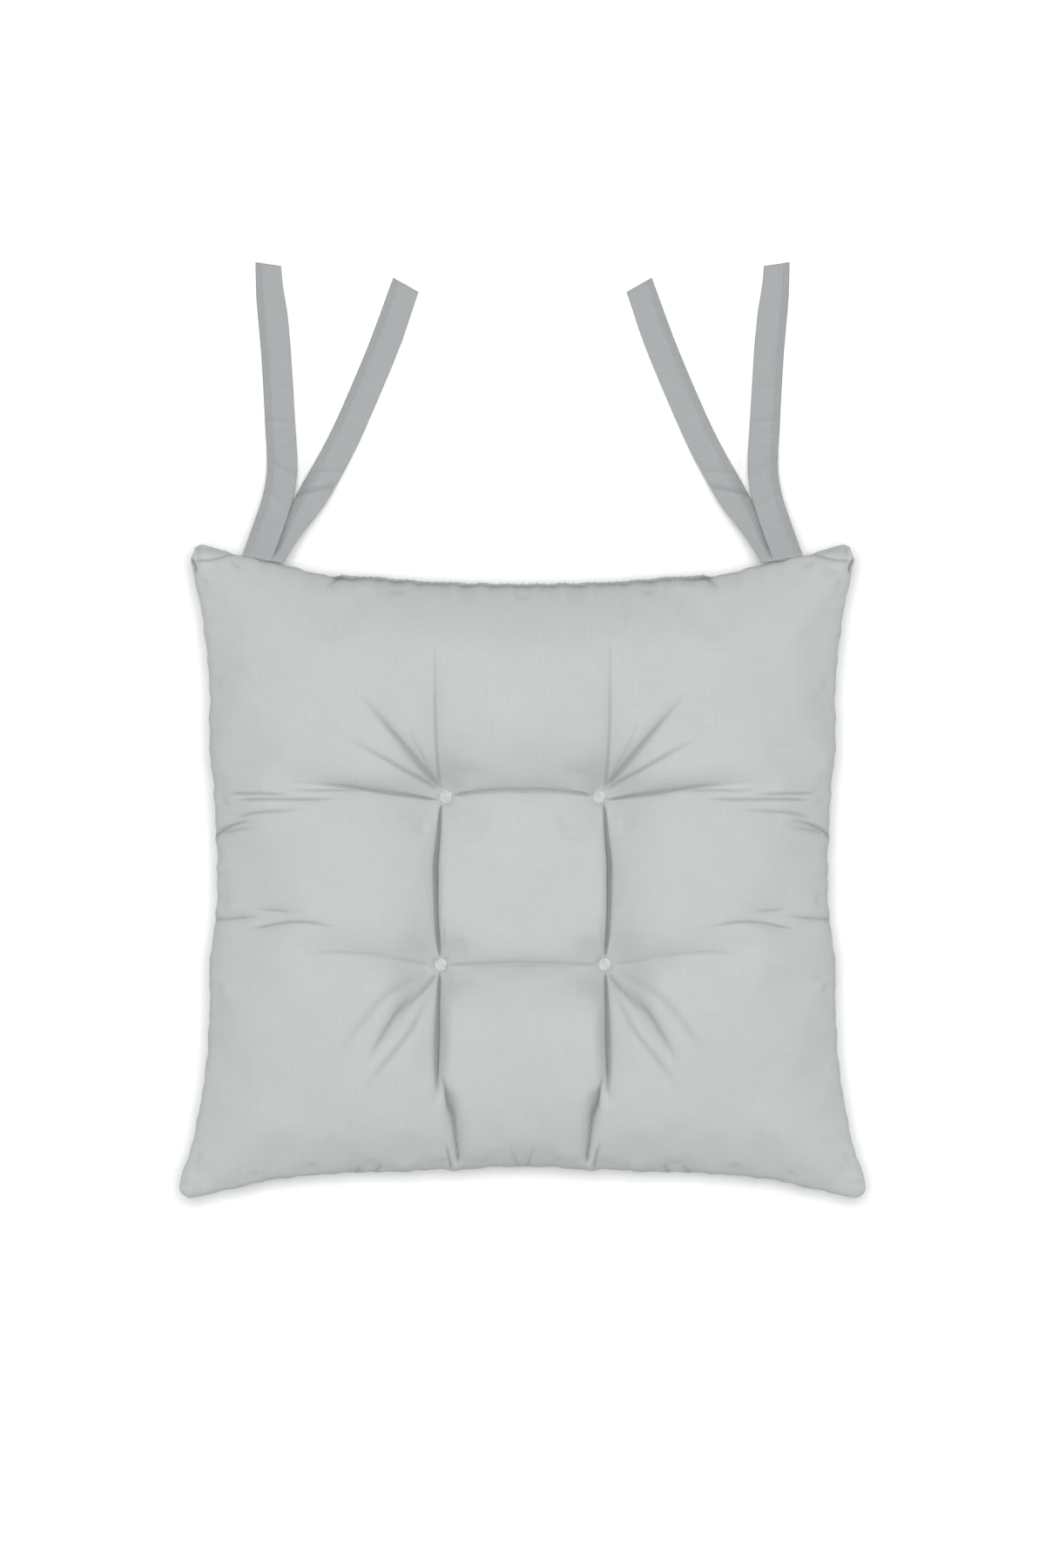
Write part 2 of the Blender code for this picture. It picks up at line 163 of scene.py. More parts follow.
class Finish:
    # One material and its nodes
    def __init__(self, name):
        self.material = bpy.data.materials.new(name)
        self.material.use_nodes = True
        self.tree = self.material.node_tree
        self.tree.nodes.clear()

    def add(self, kind, settings=None, sockets=None):
        # Adds one node: first its settings, then a number, colour or link for each socket
        made = self.tree.nodes.new(kind)
        for key, value in (settings or {}).items():
            if key == "stops":
                ramp = made.color_ramp
                for k, (place, colour) in enumerate(value):
                    stop = ramp.elements[k] if k < 2 else ramp.elements.new(place)
                    stop.position, stop.color = place, colour
            else:
                setattr(made, key, value)
        for key, value in (sockets or {}).items():
            value = value.socket if isinstance(value, Number) else value
            if isinstance(value, bpy.types.NodeSocket):
                self.tree.links.new(value, made.inputs[key])
            else:
                made.inputs[key].default_value = value
        return made

    def number(self, node, output=0):
        return Number(self, node.outputs[output])

    def close(self, shader, sockets):
        # The shader and the output end every finish
        made = self.add(shader, None, sockets)
        self.add("ShaderNodeOutputMaterial", None, {"Surface": made.outputs[0]})
        return self.material


def clothFinish(name, look):
    # Plain weave on the piece's own flat sheet: two sine waves, one along each way of thread, crossed so that
    # over and under change places, with thicker threads here and there from noise drawn out along each way
    cloth = Finish(name)
    flat = cloth.add("ShaderNodeUVMap", {"uv_map": "weave"}).outputs[0]
    axes = cloth.add("ShaderNodeSeparateXYZ", None, {0: flat})
    across, deep = cloth.number(axes, 0), cloth.number(axes, 1)
    turns = math.pi / look["threadPitch"]
    over = (across * turns).sine() * (deep * turns).sine()

    def drawnOut(scale, stretch, detail):
        placed = cloth.add("ShaderNodeMapping", None, {"Vector": flat, "Scale": stretch})
        return cloth.number(cloth.add("ShaderNodeTexNoise", {"noise_dimensions": "2D"}, {
            "Vector": placed.outputs[0], "Scale": scale, "Detail": detail, "Roughness": 0.55}))

    warpSlub = drawnOut(look["slubFine"], (1.0, look["slubLong"], 1.0), 2.0)
    weftSlub = drawnOut(look["slubFine"], (look["slubLong"], 1.0, 1.0), 2.0)
    cloudy = drawnOut(look["cloudFine"], (1.0, 1.0, 1.0), 3.0)
    fuzz = drawnOut(look["fuzzFine"], (1.0, 1.0, 1.0), 2.0)
    slub = warpSlub + weftSlub - 1.0
    # Painted shade: the base colour is mixed towards a dark grey by a point attribute set in creases, along the closed
    # opening, round the tuft knots and where a tie's root turns under; on the ties it also darkens the hem band
    inFold = Number(cloth, cloth.add("ShaderNodeAttribute", {"attribute_name": "inFold"}).outputs["Fac"])
    tint = (0.5 + over * look["weaveTint"] + slub * look["slubTint"]
            + (cloudy - 0.5) * look["cloudTint"] + (fuzz - 0.5) * look["fuzzTint"])
    colour = cloth.add("ShaderNodeValToRGB", {"stops": [
        (0.0, (*look["deepColour"], 1.0)), (0.5, (*look["colour"], 1.0)), (1.0, (*look["paleColour"], 1.0))]},
        {0: tint.between(0.0, 1.0)})
    shaded = cloth.add("ShaderNodeMix", {"data_type": "RGBA"}, {
        0: inFold * look["foldShade"], 6: colour.outputs[0], 7: (*look["paintedShadeColour"], 1.0)})
    relief = over * look["weaveRise"] + slub * look["slubRise"] + (fuzz - 0.5) * look["fuzzRise"]
    bumped = cloth.add("ShaderNodeBump", None, {
        "Strength": look["bumpStrength"], "Distance": look["bumpDepth"], "Height": relief})
    rough = (look["roughness"] + (cloudy - 0.5) * 0.08).between(0.5, 1.0)
    return cloth.close("ShaderNodeBsdfPrincipled", {
        "Base Color": shaded.outputs[2], "Roughness": rough, "Normal": bumped.outputs[0],
        "Sheen Weight": look["sheen"], "Sheen Roughness": 0.6, "Specular IOR Level": 0.2})


def threadFinish(name, look):
    # Twisted thread: fine slanting bands from a sine of all three directions, with a little noise in the colour
    thread = Finish(name)
    place = thread.add("ShaderNodeTexCoord").outputs["Object"]
    axes = thread.add("ShaderNodeSeparateXYZ", None, {0: place})
    x, y, z = (thread.number(axes, k) for k in range(3))
    twist = ((x + y * 0.8 + z * 0.6) * (2 * math.pi / look["twistPitch"])).sine()
    mottle = thread.number(thread.add("ShaderNodeTexNoise", None, {"Vector": place, "Scale": 900.0, "Detail": 2.0}))
    colour = thread.add("ShaderNodeValToRGB", {"stops": [
        (0.0, (*look["deepColour"], 1.0)), (1.0, (*look["paleColour"], 1.0))]},
        {0: (0.5 + twist * 0.22 + (mottle - 0.5) * 0.7).between(0.0, 1.0)})
    bumped = thread.add("ShaderNodeBump", None, {"Strength": 0.5, "Distance": 0.0001, "Height": twist + mottle})
    return thread.close("ShaderNodeBsdfPrincipled", {
        "Base Color": colour.outputs[0], "Roughness": 0.7 + (mottle - 0.5) * 0.2,
        "Normal": bumped.outputs[0], "Sheen Weight": 0.1})


def fillingFinish(name):
    # Loose white fibre: long noise threads crossed with cloudy clumps
    fibre = Finish(name)
    place = fibre.add("ShaderNodeTexCoord").outputs["Object"]
    strands = fibre.number(fibre.add("ShaderNodeTexNoise", None, {
        "Vector": place, "Scale": 700.0, "Detail": 4.0, "Distortion": 2.0}))
    clumps = fibre.number(fibre.add("ShaderNodeTexNoise", None, {"Vector": place, "Scale": 60.0, "Detail": 3.0}))
    colour = fibre.add("ShaderNodeValToRGB", {"stops": [
        (0.0, (0.70, 0.70, 0.68, 1.0)), (1.0, (0.90, 0.90, 0.88, 1.0))]},
        {0: (strands * 0.6 + clumps * 0.5).between(0.0, 1.0)})
    bumped = fibre.add("ShaderNodeBump", None, {"Strength": 0.7, "Distance": 0.001, "Height": strands + clumps})
    return fibre.close("ShaderNodeBsdfPrincipled", {
        "Base Color": colour.outputs[0], "Roughness": 0.85 + (clumps - 0.5) * 0.2, "Normal": bumped.outputs[0]})


coverLook = {
    "colour": (0.520, 0.545, 0.540), "deepColour": (0.455, 0.478, 0.475), "paleColour": (0.585, 0.608, 0.603),
    "threadPitch": 0.00045,      # metres from one thread to the next
    "slubFine": 1500.0, "slubLong": 0.03, "cloudFine": 22.0, "fuzzFine": 2600.0,
    "weaveTint": 0.10, "slubTint": 0.42, "cloudTint": 0.25, "fuzzTint": 0.25,
    "weaveRise": 0.5, "slubRise": 0.8, "fuzzRise": 0.4,
    "bumpStrength": 0.35, "bumpDepth": 0.00012, "roughness": 0.86, "sheen": 0.12,
    "foldShade": 0.85, "paintedShadeColour": (0.175, 0.180, 0.183),   # painted shade in creases, along the closed opening and round the tufts
}
# The ties are the same cloth as the cover; their darker colours are painted shade
paintedShadeTieLook = dict(
    coverLook, colour=(0.385, 0.403, 0.409), deepColour=(0.333, 0.349, 0.354), paleColour=(0.440, 0.459, 0.465))
coverCloth = clothFinish("coverCloth", coverLook)
tieCloth = clothFinish("tieCloth", paintedShadeTieLook)
tuftThread = threadFinish("tuftThread", {
    "deepColour": (0.58, 0.602, 0.598), "paleColour": (0.78, 0.802, 0.798), "twistPitch": 0.0006})
sewingThread = threadFinish("sewingThread", {
    "deepColour": (0.34, 0.355, 0.36), "paleColour": (0.56, 0.58, 0.585), "twistPitch": 0.0004})
fibreFinish = fillingFinish("fillingFibre")
print("finishes made")


# ---------- the cover

topLow, topHigh = (np.array(corner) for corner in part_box("cover_top_panel"))
bottomLow, bottomHigh = (np.array(corner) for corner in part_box("cover_bottom_panel"))
seamZ = (topLow[2] + bottomHigh[2]) / 2


def tackPlace(name):
    low, high = (np.array(corner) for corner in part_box(name))
    return (low + high) / 2, low, high


pad = {
    "frontCornerX": topHigh[0], "cornerY": topHigh[1], "rearCornerY": topHigh[1] + 0.002, "rearCornerX": 0.193, "waistX": 0.178,
    "frontMidY": 0.1732, "rearMidY": 0.1657, "sideBow": 2.0, "frontBow": 3.4, "rearBow": 2.35,
    "crown": topHigh[2] - seamZ, "drop": seamZ + 0.004,
    "topSeatZ": tackPlace("tuft_tack_top_rear_left")[1][2] - 0.0003,
    "bottomSeatZ": tackPlace("tuft_tack_bottom_rear_left")[2][2] + 0.0003,
    "rearTuft": -tackPlace("tuft_tack_top_rear_left")[0][:2] * (1, -1),
    "frontTuft": -tackPlace("tuft_tack_top_front_left")[0][:2] * (1, -1),
    "fineCells": 400, "underCells": 220, "simCells": 84,
    "cornerRound": 0.0022, "lip": 0.0021,
    "sideFull": 2.1, "rearFull": 4.0, "frontFull": 3.4, "floorGap": 0.0004,
    # how far the outline stands out from its plain curve, in millimetres, at places along each edge
    "sideStandsOut": [(-189, -1.4), (-187, 0.4), (-184, 1.7), (-176, 1.5), (-168, 0.0), (-160, -1.1), (-140, -1.8),
                      (-115, -2.0), (-100, -1.3), (-80, 0.1), (-66, 0.9), (-57, 2.5), (-50, 1.8), (-35, 0.8),
                      (-26, -0.3), (-15, -0.7), (0, -0.4), (8, -0.8), (20, 0.0), (45, 0.3), (60, 1.2), (70, 2.0),
                      (90, 0.6), (100, -0.5), (115, -1.1), (135, -1.1), (155, -0.6), (168, 0.5), (180, 1.6), (186, 0.9),
                      (190, -1.6)],
    "frontStandsOut": [(0, -1.4), (24, -1.1), (31, 0.3), (38, 1.0), (47, -0.3), (56, 0.5), (76, 1.1), (90, 0.5),
                       (145, 0.4), (157, 1.4), (168, 2.3), (192, 2.4), (195.5, 1.1), (198, -0.8)],
    "rearStandsOut": [(0, 0), (86, 0), (98, -0.9), (111, -1.6), (124, -0.9), (136, 0), (186, 0), (190, -1.5), (193, -3.0)],
}
rearTuft, frontTuft = pad["rearTuft"], pad["frontTuft"]


def onLine(line, place):
    # Smoothed reading of a line of (place, value): the mean of nearby straight readings
    line = np.array(sorted(line))
    near = (line[-1, 0] - line[0, 0]) / 130
    return sum(np.interp(place + shift * near, line[:, 0], line[:, 1]) for shift in (-1, -0.5, 0, 0.5, 1)) / 5


def outline(u, v):
    # Plan of the pad: half width is the waist plus what the corners stand out, times v squared, and half depth
    # is the middle plus what the corners stand out, times u to the bow. The tips are drawn in and each edge
    # swells and falls back a little between its pleats.
    cornerX = np.where(v > 0, pad["rearCornerX"], pad["frontCornerX"])
    midY = np.where(v > 0, pad["rearMidY"], pad["frontMidY"])
    x = u * (pad["waistX"] + (cornerX - pad["waistX"]) * np.abs(v) ** pad["sideBow"])
    cornerY = np.where(v > 0, pad["rearCornerY"], pad["cornerY"])
    y = v * (midY + (cornerY - midY) * np.abs(u) ** np.where(v > 0, pad["rearBow"], pad["frontBow"]))
    tip = np.abs(u * v) ** 34
    x = x - np.sign(u) * tip * pad["cornerRound"] * 0.6
    y = y - np.sign(v) * tip * pad["cornerRound"] * 0.6
    ends = np.where(v > 0, onLine(pad["rearStandsOut"], 1000 * np.abs(x)), onLine(pad["frontStandsOut"], 1000 * np.abs(x)))
    return (x + u * np.abs(u) ** 3 * onLine(pad["sideStandsOut"], 1000 * y) / 1000,
            y + v * np.abs(v) ** 3 * ends / 1000)


def ticks(count, gathers):
    # Places from -1 to 1, the same on both sides, closer together near each gather (place, width, strength)
    fine = np.linspace(-1, 1, 20001)
    weight = 1.0 + sum(g[2] * np.exp(-(((fine - g[0]) / g[1]) ** 2)) for g in gathers)
    walked = np.concatenate([[0], np.cumsum((weight[1:] + weight[:-1]) / 2)])
    return np.interp(np.linspace(0, walked[-1], count + 1), walked, fine)


def nearest(values, target):
    # The same places with the one nearest to the target moved onto it
    values = values.copy()
    values[np.abs(values - target).argmin()] = target
    return values


tuftU = (rearTuft[0] + frontTuft[0]) / 2 / (pad["waistX"] + 0.001)
rearV, frontV = rearTuft[1] / pad["rearMidY"], frontTuft[1] / pad["frontMidY"]

# The lines that the columns and rows of the cover follow, so that the deepest creases lie on them: places in
# metres, left of the middle, from the rear edge to the front and from the middle outwards
foldLines = {
    "column": [(0.190, 0.0510), (0.129, 0.0504), (0.081, 0.0501), (0.050, 0.0478), (0.043, 0.0445), (0.038, 0.0471),
               (0.020, 0.0487), (0.005, 0.0501), (-0.005, 0.0501), (-0.030, 0.0496), (-0.048, 0.0481),
               (-0.054, 0.0475), (-0.060, 0.0482), (-0.091, 0.0491), (-0.127, 0.0499), (-0.190, 0.0490)],
    "rearRow": [(0.0, 0.0466), (0.010, 0.0470), (0.028, 0.0456), (0.0445, 0.0430), (0.052, 0.0420),
                (0.085, 0.0466), (0.1286, 0.0512), (0.170, 0.0520), (0.200, 0.0520)],
    "frontRow": [(0.0, -0.0535), (0.0475, -0.0540), (0.081, -0.0485), (0.109, -0.0460), (0.131, -0.0486),
                 (0.170, -0.050), (0.200, -0.050)],
}


def plan(u, v):
    # The outline's plan, with the columns and rows near the tufts drawn over onto the fold lines
    x, y = outline(u, v)
    side = np.abs(u)
    straight = tuftU * (np.abs(x) / np.maximum(side, 1e-6))
    x = x + np.sign(u) * (onLine(foldLines["column"], y) - straight) * hill(side - tuftU, 0.24) * hill(v, 1.05)
    for row, place in (("rearRow", rearV), ("frontRow", frontV)):
        level = place * (np.where(v > 0, pad["rearMidY"], pad["frontMidY"]) + 0.011 * side**2)
        y = y + (onLine(foldLines[row], np.abs(x)) - level) * hill(v - place, 0.22) * (1 - smooth((side - 0.75) / 0.2))
    return x, y


def nearPath(x, y, path, reach):
    # The places within reach of a path left of the middle: which they are, how far off the path, whether left of
    # its way, and how far along it from 0 to 1
    low, high = path.min(0) - reach, path.max(0) + reach
    left = -np.abs(x)
    near = (left > low[0]) & (left < high[0]) & (y > low[1]) & (y < high[1])
    place = np.stack([left[near], y[near]], -1)
    start, way = path[:-1], np.diff(path, axis=0)
    share = ((place[:, None] - start) * way).sum(-1) / (way**2).sum(-1)
    off = place[:, None] - start - np.clip(share, 0, 1)[..., None] * way
    gap = np.linalg.norm(off, axis=-1)
    which = gap.argmin(1)
    row = np.arange(len(which))
    off = off[row, which]
    turned = way[which, 0] * off[:, 1] - way[which, 1] * off[:, 0]
    along = (which + np.clip(share[row, which], 0, 1)) / len(way)
    return near, gap[row, which], turned > 0, along


def fadeAlong(along, fade):
    into, out = fade
    return (smooth(along / into) if into else 1.0) * (smooth((1 - along) / out) if out else 1.0)


# How deep the cloth is drawn down, as shares of the way from the crown to a tuft's seat
form = {
    "tuftReach": 0.0095, "seatRadius": 0.0026,
    "squareSink": 0.66, "squareReach": 0.050,       # the square between the tufts and the slopes down to it
    "squareRise": 0.26, "sideEdge": 0.0026, "rearEdge": 0.015, "frontEdge": 0.009,
    "underSink": 0.55,
    # broad valleys out of the tufts: path in millimetres, sink, width on the left and right of its way
    "valleys": [
        dict(path=[(-47.5, -54), (-48.2, -60), (-49.1, -91), (-49.9, -127), (-48, -150)],
             sink=0.40, left=10, right=30, fade=(0.0, 0.55)),
        dict(path=[(-46.1, -118), (-40.5, -141.8), (-37.5, -165), (-37, -174)],
             sink=0.24, left=10, right=14, fade=(0.35, 0.1)),
        dict(path=[(-44.5, 43), (-47.8, 50), (-50.1, 81), (-50.4, 129), (-50.8, 155)],
             sink=0.17, left=20, right=15, fade=(0.0, 0.8)),
        dict(path=[(-44.5, 43), (-52, 42), (-85.1, 46.6), (-107, 49.5), (-128.6, 51.6), (-160, 50)],
             sink=0.34, left=32, right=15, fade=(0.0, 0.85)),
        dict(path=[(-47.5, -54), (-60, -52.5), (-81, -48.5), (-109.4, -46), (-150, -49)],
             sink=0.28, left=22, right=20, fade=(0.0, 0.85)),
        dict(path=[(-47.5, -54), (-66, -76), (-86, -106), (-96, -122)], sink=0.16, left=12, right=10, fade=(0.0, 0.7)),
        dict(path=[(-44.5, 43), (-52.7, 54.0), (-75, 80), (-97, 107)], sink=0.13, left=12, right=9, fade=(0.0, 0.8)),
    ],
}


def tuftPull(x, y, reach, flat):
    # 1 on each tuft's flat seat, then falling off as e to the minus distance over reach
    pull = np.zeros_like(x)
    for tuftX, tuftY in (rearTuft, frontTuft):
        away = np.maximum(np.hypot(np.abs(x) - tuftX, y - tuftY) - flat, 0.0)
        pull = np.maximum(pull, np.exp(-away / reach))
    return pull


def squarePull(x, y, sink, rise):
    # The square between the tufts sits low: sink at its edges, less inside by rise times the product of one less
    # e to the minus distance from each edge, and outside it the sink times the square of the way left to its reach
    side = np.abs(x)
    overX = side - onLine(foldLines["column"], y)
    overRear = y - onLine(foldLines["rearRow"], side)
    overFront = onLine(foldLines["frontRow"], side) - y
    out = np.hypot(np.maximum(overX, 0), np.maximum(np.maximum(overRear, overFront), 0))
    within = np.ones_like(x)
    for over, edge in ((overX, "sideEdge"), (overRear, "rearEdge"), (overFront, "frontEdge")):
        within = within * (1 - np.exp(-np.maximum(-over, 0) / form[edge]))
    return sink * (1 - np.clip(out / form["squareReach"], 0, 1)) ** 2 - rise * within


def drawnDown(x, y, top):
    # Pulls that meet are joined by one less the product of what each leaves
    left = 1 - tuftPull(x, y, form["tuftReach"], form["seatRadius"])
    part = 1.0 if top else form["underSink"]
    left = left * (1 - squarePull(x, y, form["squareSink"] * part, form["squareRise"] * part))
    for valley in form["valleys"]:
        path = curveThrough(np.array(valley["path"]) / 1000, 24)
        wide = max(valley["left"], valley["right"]) / 1000
        near, gap, isLeft, along = nearPath(x, y, path, wide)
        width = np.where(isLeft, valley["left"], valley["right"]) / 1000
        sink = valley["sink"] * part * (1 - np.clip(gap / width, 0, 1)) ** 2 * fadeAlong(along, valley["fade"])
        left[near] *= 1 - sink
    return 1 - left


def coverShape(u, v, top):
    # Crowned cushion: height over the seam is the crown times the root of (1 - u to a power)(1 - v to a power),
    # where a power over 2 keeps it full further out, drawn towards the tufts' seats by its share of sinking
    x, y = plan(u, v)
    fullness = np.where(v > 0, pad["rearFull"], pad["frontFull"])
    puff = np.sqrt(np.clip(1 - np.abs(u) ** pad["sideFull"], 0, 1) * np.clip(1 - np.abs(v) ** fullness, 0, 1))
    share = drawnDown(x, y, top)
    if top:
        full = seamZ + pad["crown"] * puff
        z = full - np.maximum(full - pad["topSeatZ"], 0) * share
    else:
        full = seamZ - pad["drop"] * puff
        z = full + np.maximum(pad["bottomSeatZ"] - full, 0) * share
    return np.stack([x, y, z], -1)


# ---------- the cloth is filled: a welded shell of both panels is blown up and settles

settling = {"pressure": 1.2, "slack": -0.006, "stiffness": 12.0, "bending": 4.0, "frames": 18, "cap": 0.007, "share": 0.8}


def settleCover():
    # Both panels as one closed shell, held at the seam and the tufts, with Cloth pressure inside and no gravity.
    # Returns how far each grid place of the top and the bottom moved.
    n = pad["simCells"] + 1
    places = np.linspace(-1, 1, n)
    u, v = np.meshgrid(places, places)
    top, bottom = coverShape(u, v, True), coverShape(u, v, False)
    inner = (np.abs(u) < 1) & (np.abs(v) < 1)
    number = np.arange(n * n).reshape(n, n)
    under = number.copy()
    under[inner] = n * n + np.arange(inner.sum())
    faces = np.concatenate([gridFaces(n, n), under.ravel()[gridFaces(n, n)][:, ::-1]])
    points = np.concatenate([top.reshape(-1, 3), bottom[inner]])
    shell = meshPiece("settlingShell", points, faces, None)
    held = np.concatenate([
        (~inner | (tuftPull(top[..., 0], top[..., 1], 0.001, 0.0045) > 0.9)).ravel(),
        (tuftPull(bottom[..., 0], bottom[..., 1], 0.001, 0.0045) > 0.9)[inner]])
    group = shell.vertex_groups.new(name="held")
    group.add(np.flatnonzero(held).tolist(), 1.0, "REPLACE")
    cloth = shell.modifiers.new("settle", "CLOTH")
    facts = cloth.settings
    facts.quality = 6
    facts.mass = 0.2
    facts.vertex_group_mass = "held"
    facts.tension_stiffness = facts.compression_stiffness = settling["stiffness"]
    facts.shear_stiffness = settling["stiffness"] * 0.5
    facts.bending_stiffness = settling["bending"]
    facts.air_damping = 4.0
    facts.use_pressure = True
    facts.uniform_pressure_force = settling["pressure"]
    facts.shrink_min = settling["slack"]
    facts.effector_weights.gravity = 0.0
    cloth.collision_settings.use_collision = False
    cloth.point_cache.frame_start, cloth.point_cache.frame_end = 1, settling["frames"]
    for step in range(1, settling["frames"] + 1):
        bpy.context.scene.frame_set(step)
    settled = shell.evaluated_get(bpy.context.evaluated_depsgraph_get()).to_mesh()
    after = np.empty(len(settled.vertices) * 3, np.float32)
    settled.vertices.foreach_get("co", after)
    after = after.reshape(-1, 3).astype(float)
    bpy.context.scene.frame_set(1)
    mesh = shell.data
    bpy.data.objects.remove(shell)
    bpy.data.meshes.remove(mesh)
    moved = after - points
    length = np.linalg.norm(moved, axis=1, keepdims=True)
    moved *= settling["cap"] * np.tanh(length / settling["cap"]) / np.maximum(length, 1e-9)
    topMove = moved[number]
    bottomMove = moved[under]
    bottomMove[~inner] = 0
    out = []
    for grid in (topMove, bottomMove):
        mirrored = grid[:, ::-1] * (-1, 1, 1)
        out.append((grid + mirrored) / 2)
    return out


def readGrid(grid, u, v):
    # Rounded reading (Catmull-Rom) of an even grid over -1 to 1 at every crossing of the places u and v
    def weights(places, count):
        at = (places + 1) / 2 * (count - 1)
        base = np.clip(np.floor(at).astype(int), 0, count - 2)
        t = at - base
        parts = (-t + 2 * t**2 - t**3, 2 - 5 * t**2 + 3 * t**3, t + 4 * t**2 - 3 * t**3, t**3 - t**2)
        table = np.zeros((len(places), count))
        for shift, part in zip((-1, 0, 1, 2), parts):
            np.add.at(table, (np.arange(len(places)), np.clip(base + shift, 0, count - 1)), part / 2)
        return table
    return np.einsum("ri,ijk,cj->rck", weights(v, grid.shape[0]), grid, weights(u, grid.shape[1]))


topMove, bottomMove = settleCover()
print("cover settled, top moved up to %.1f mm" % (1000 * np.abs(topMove).max()))
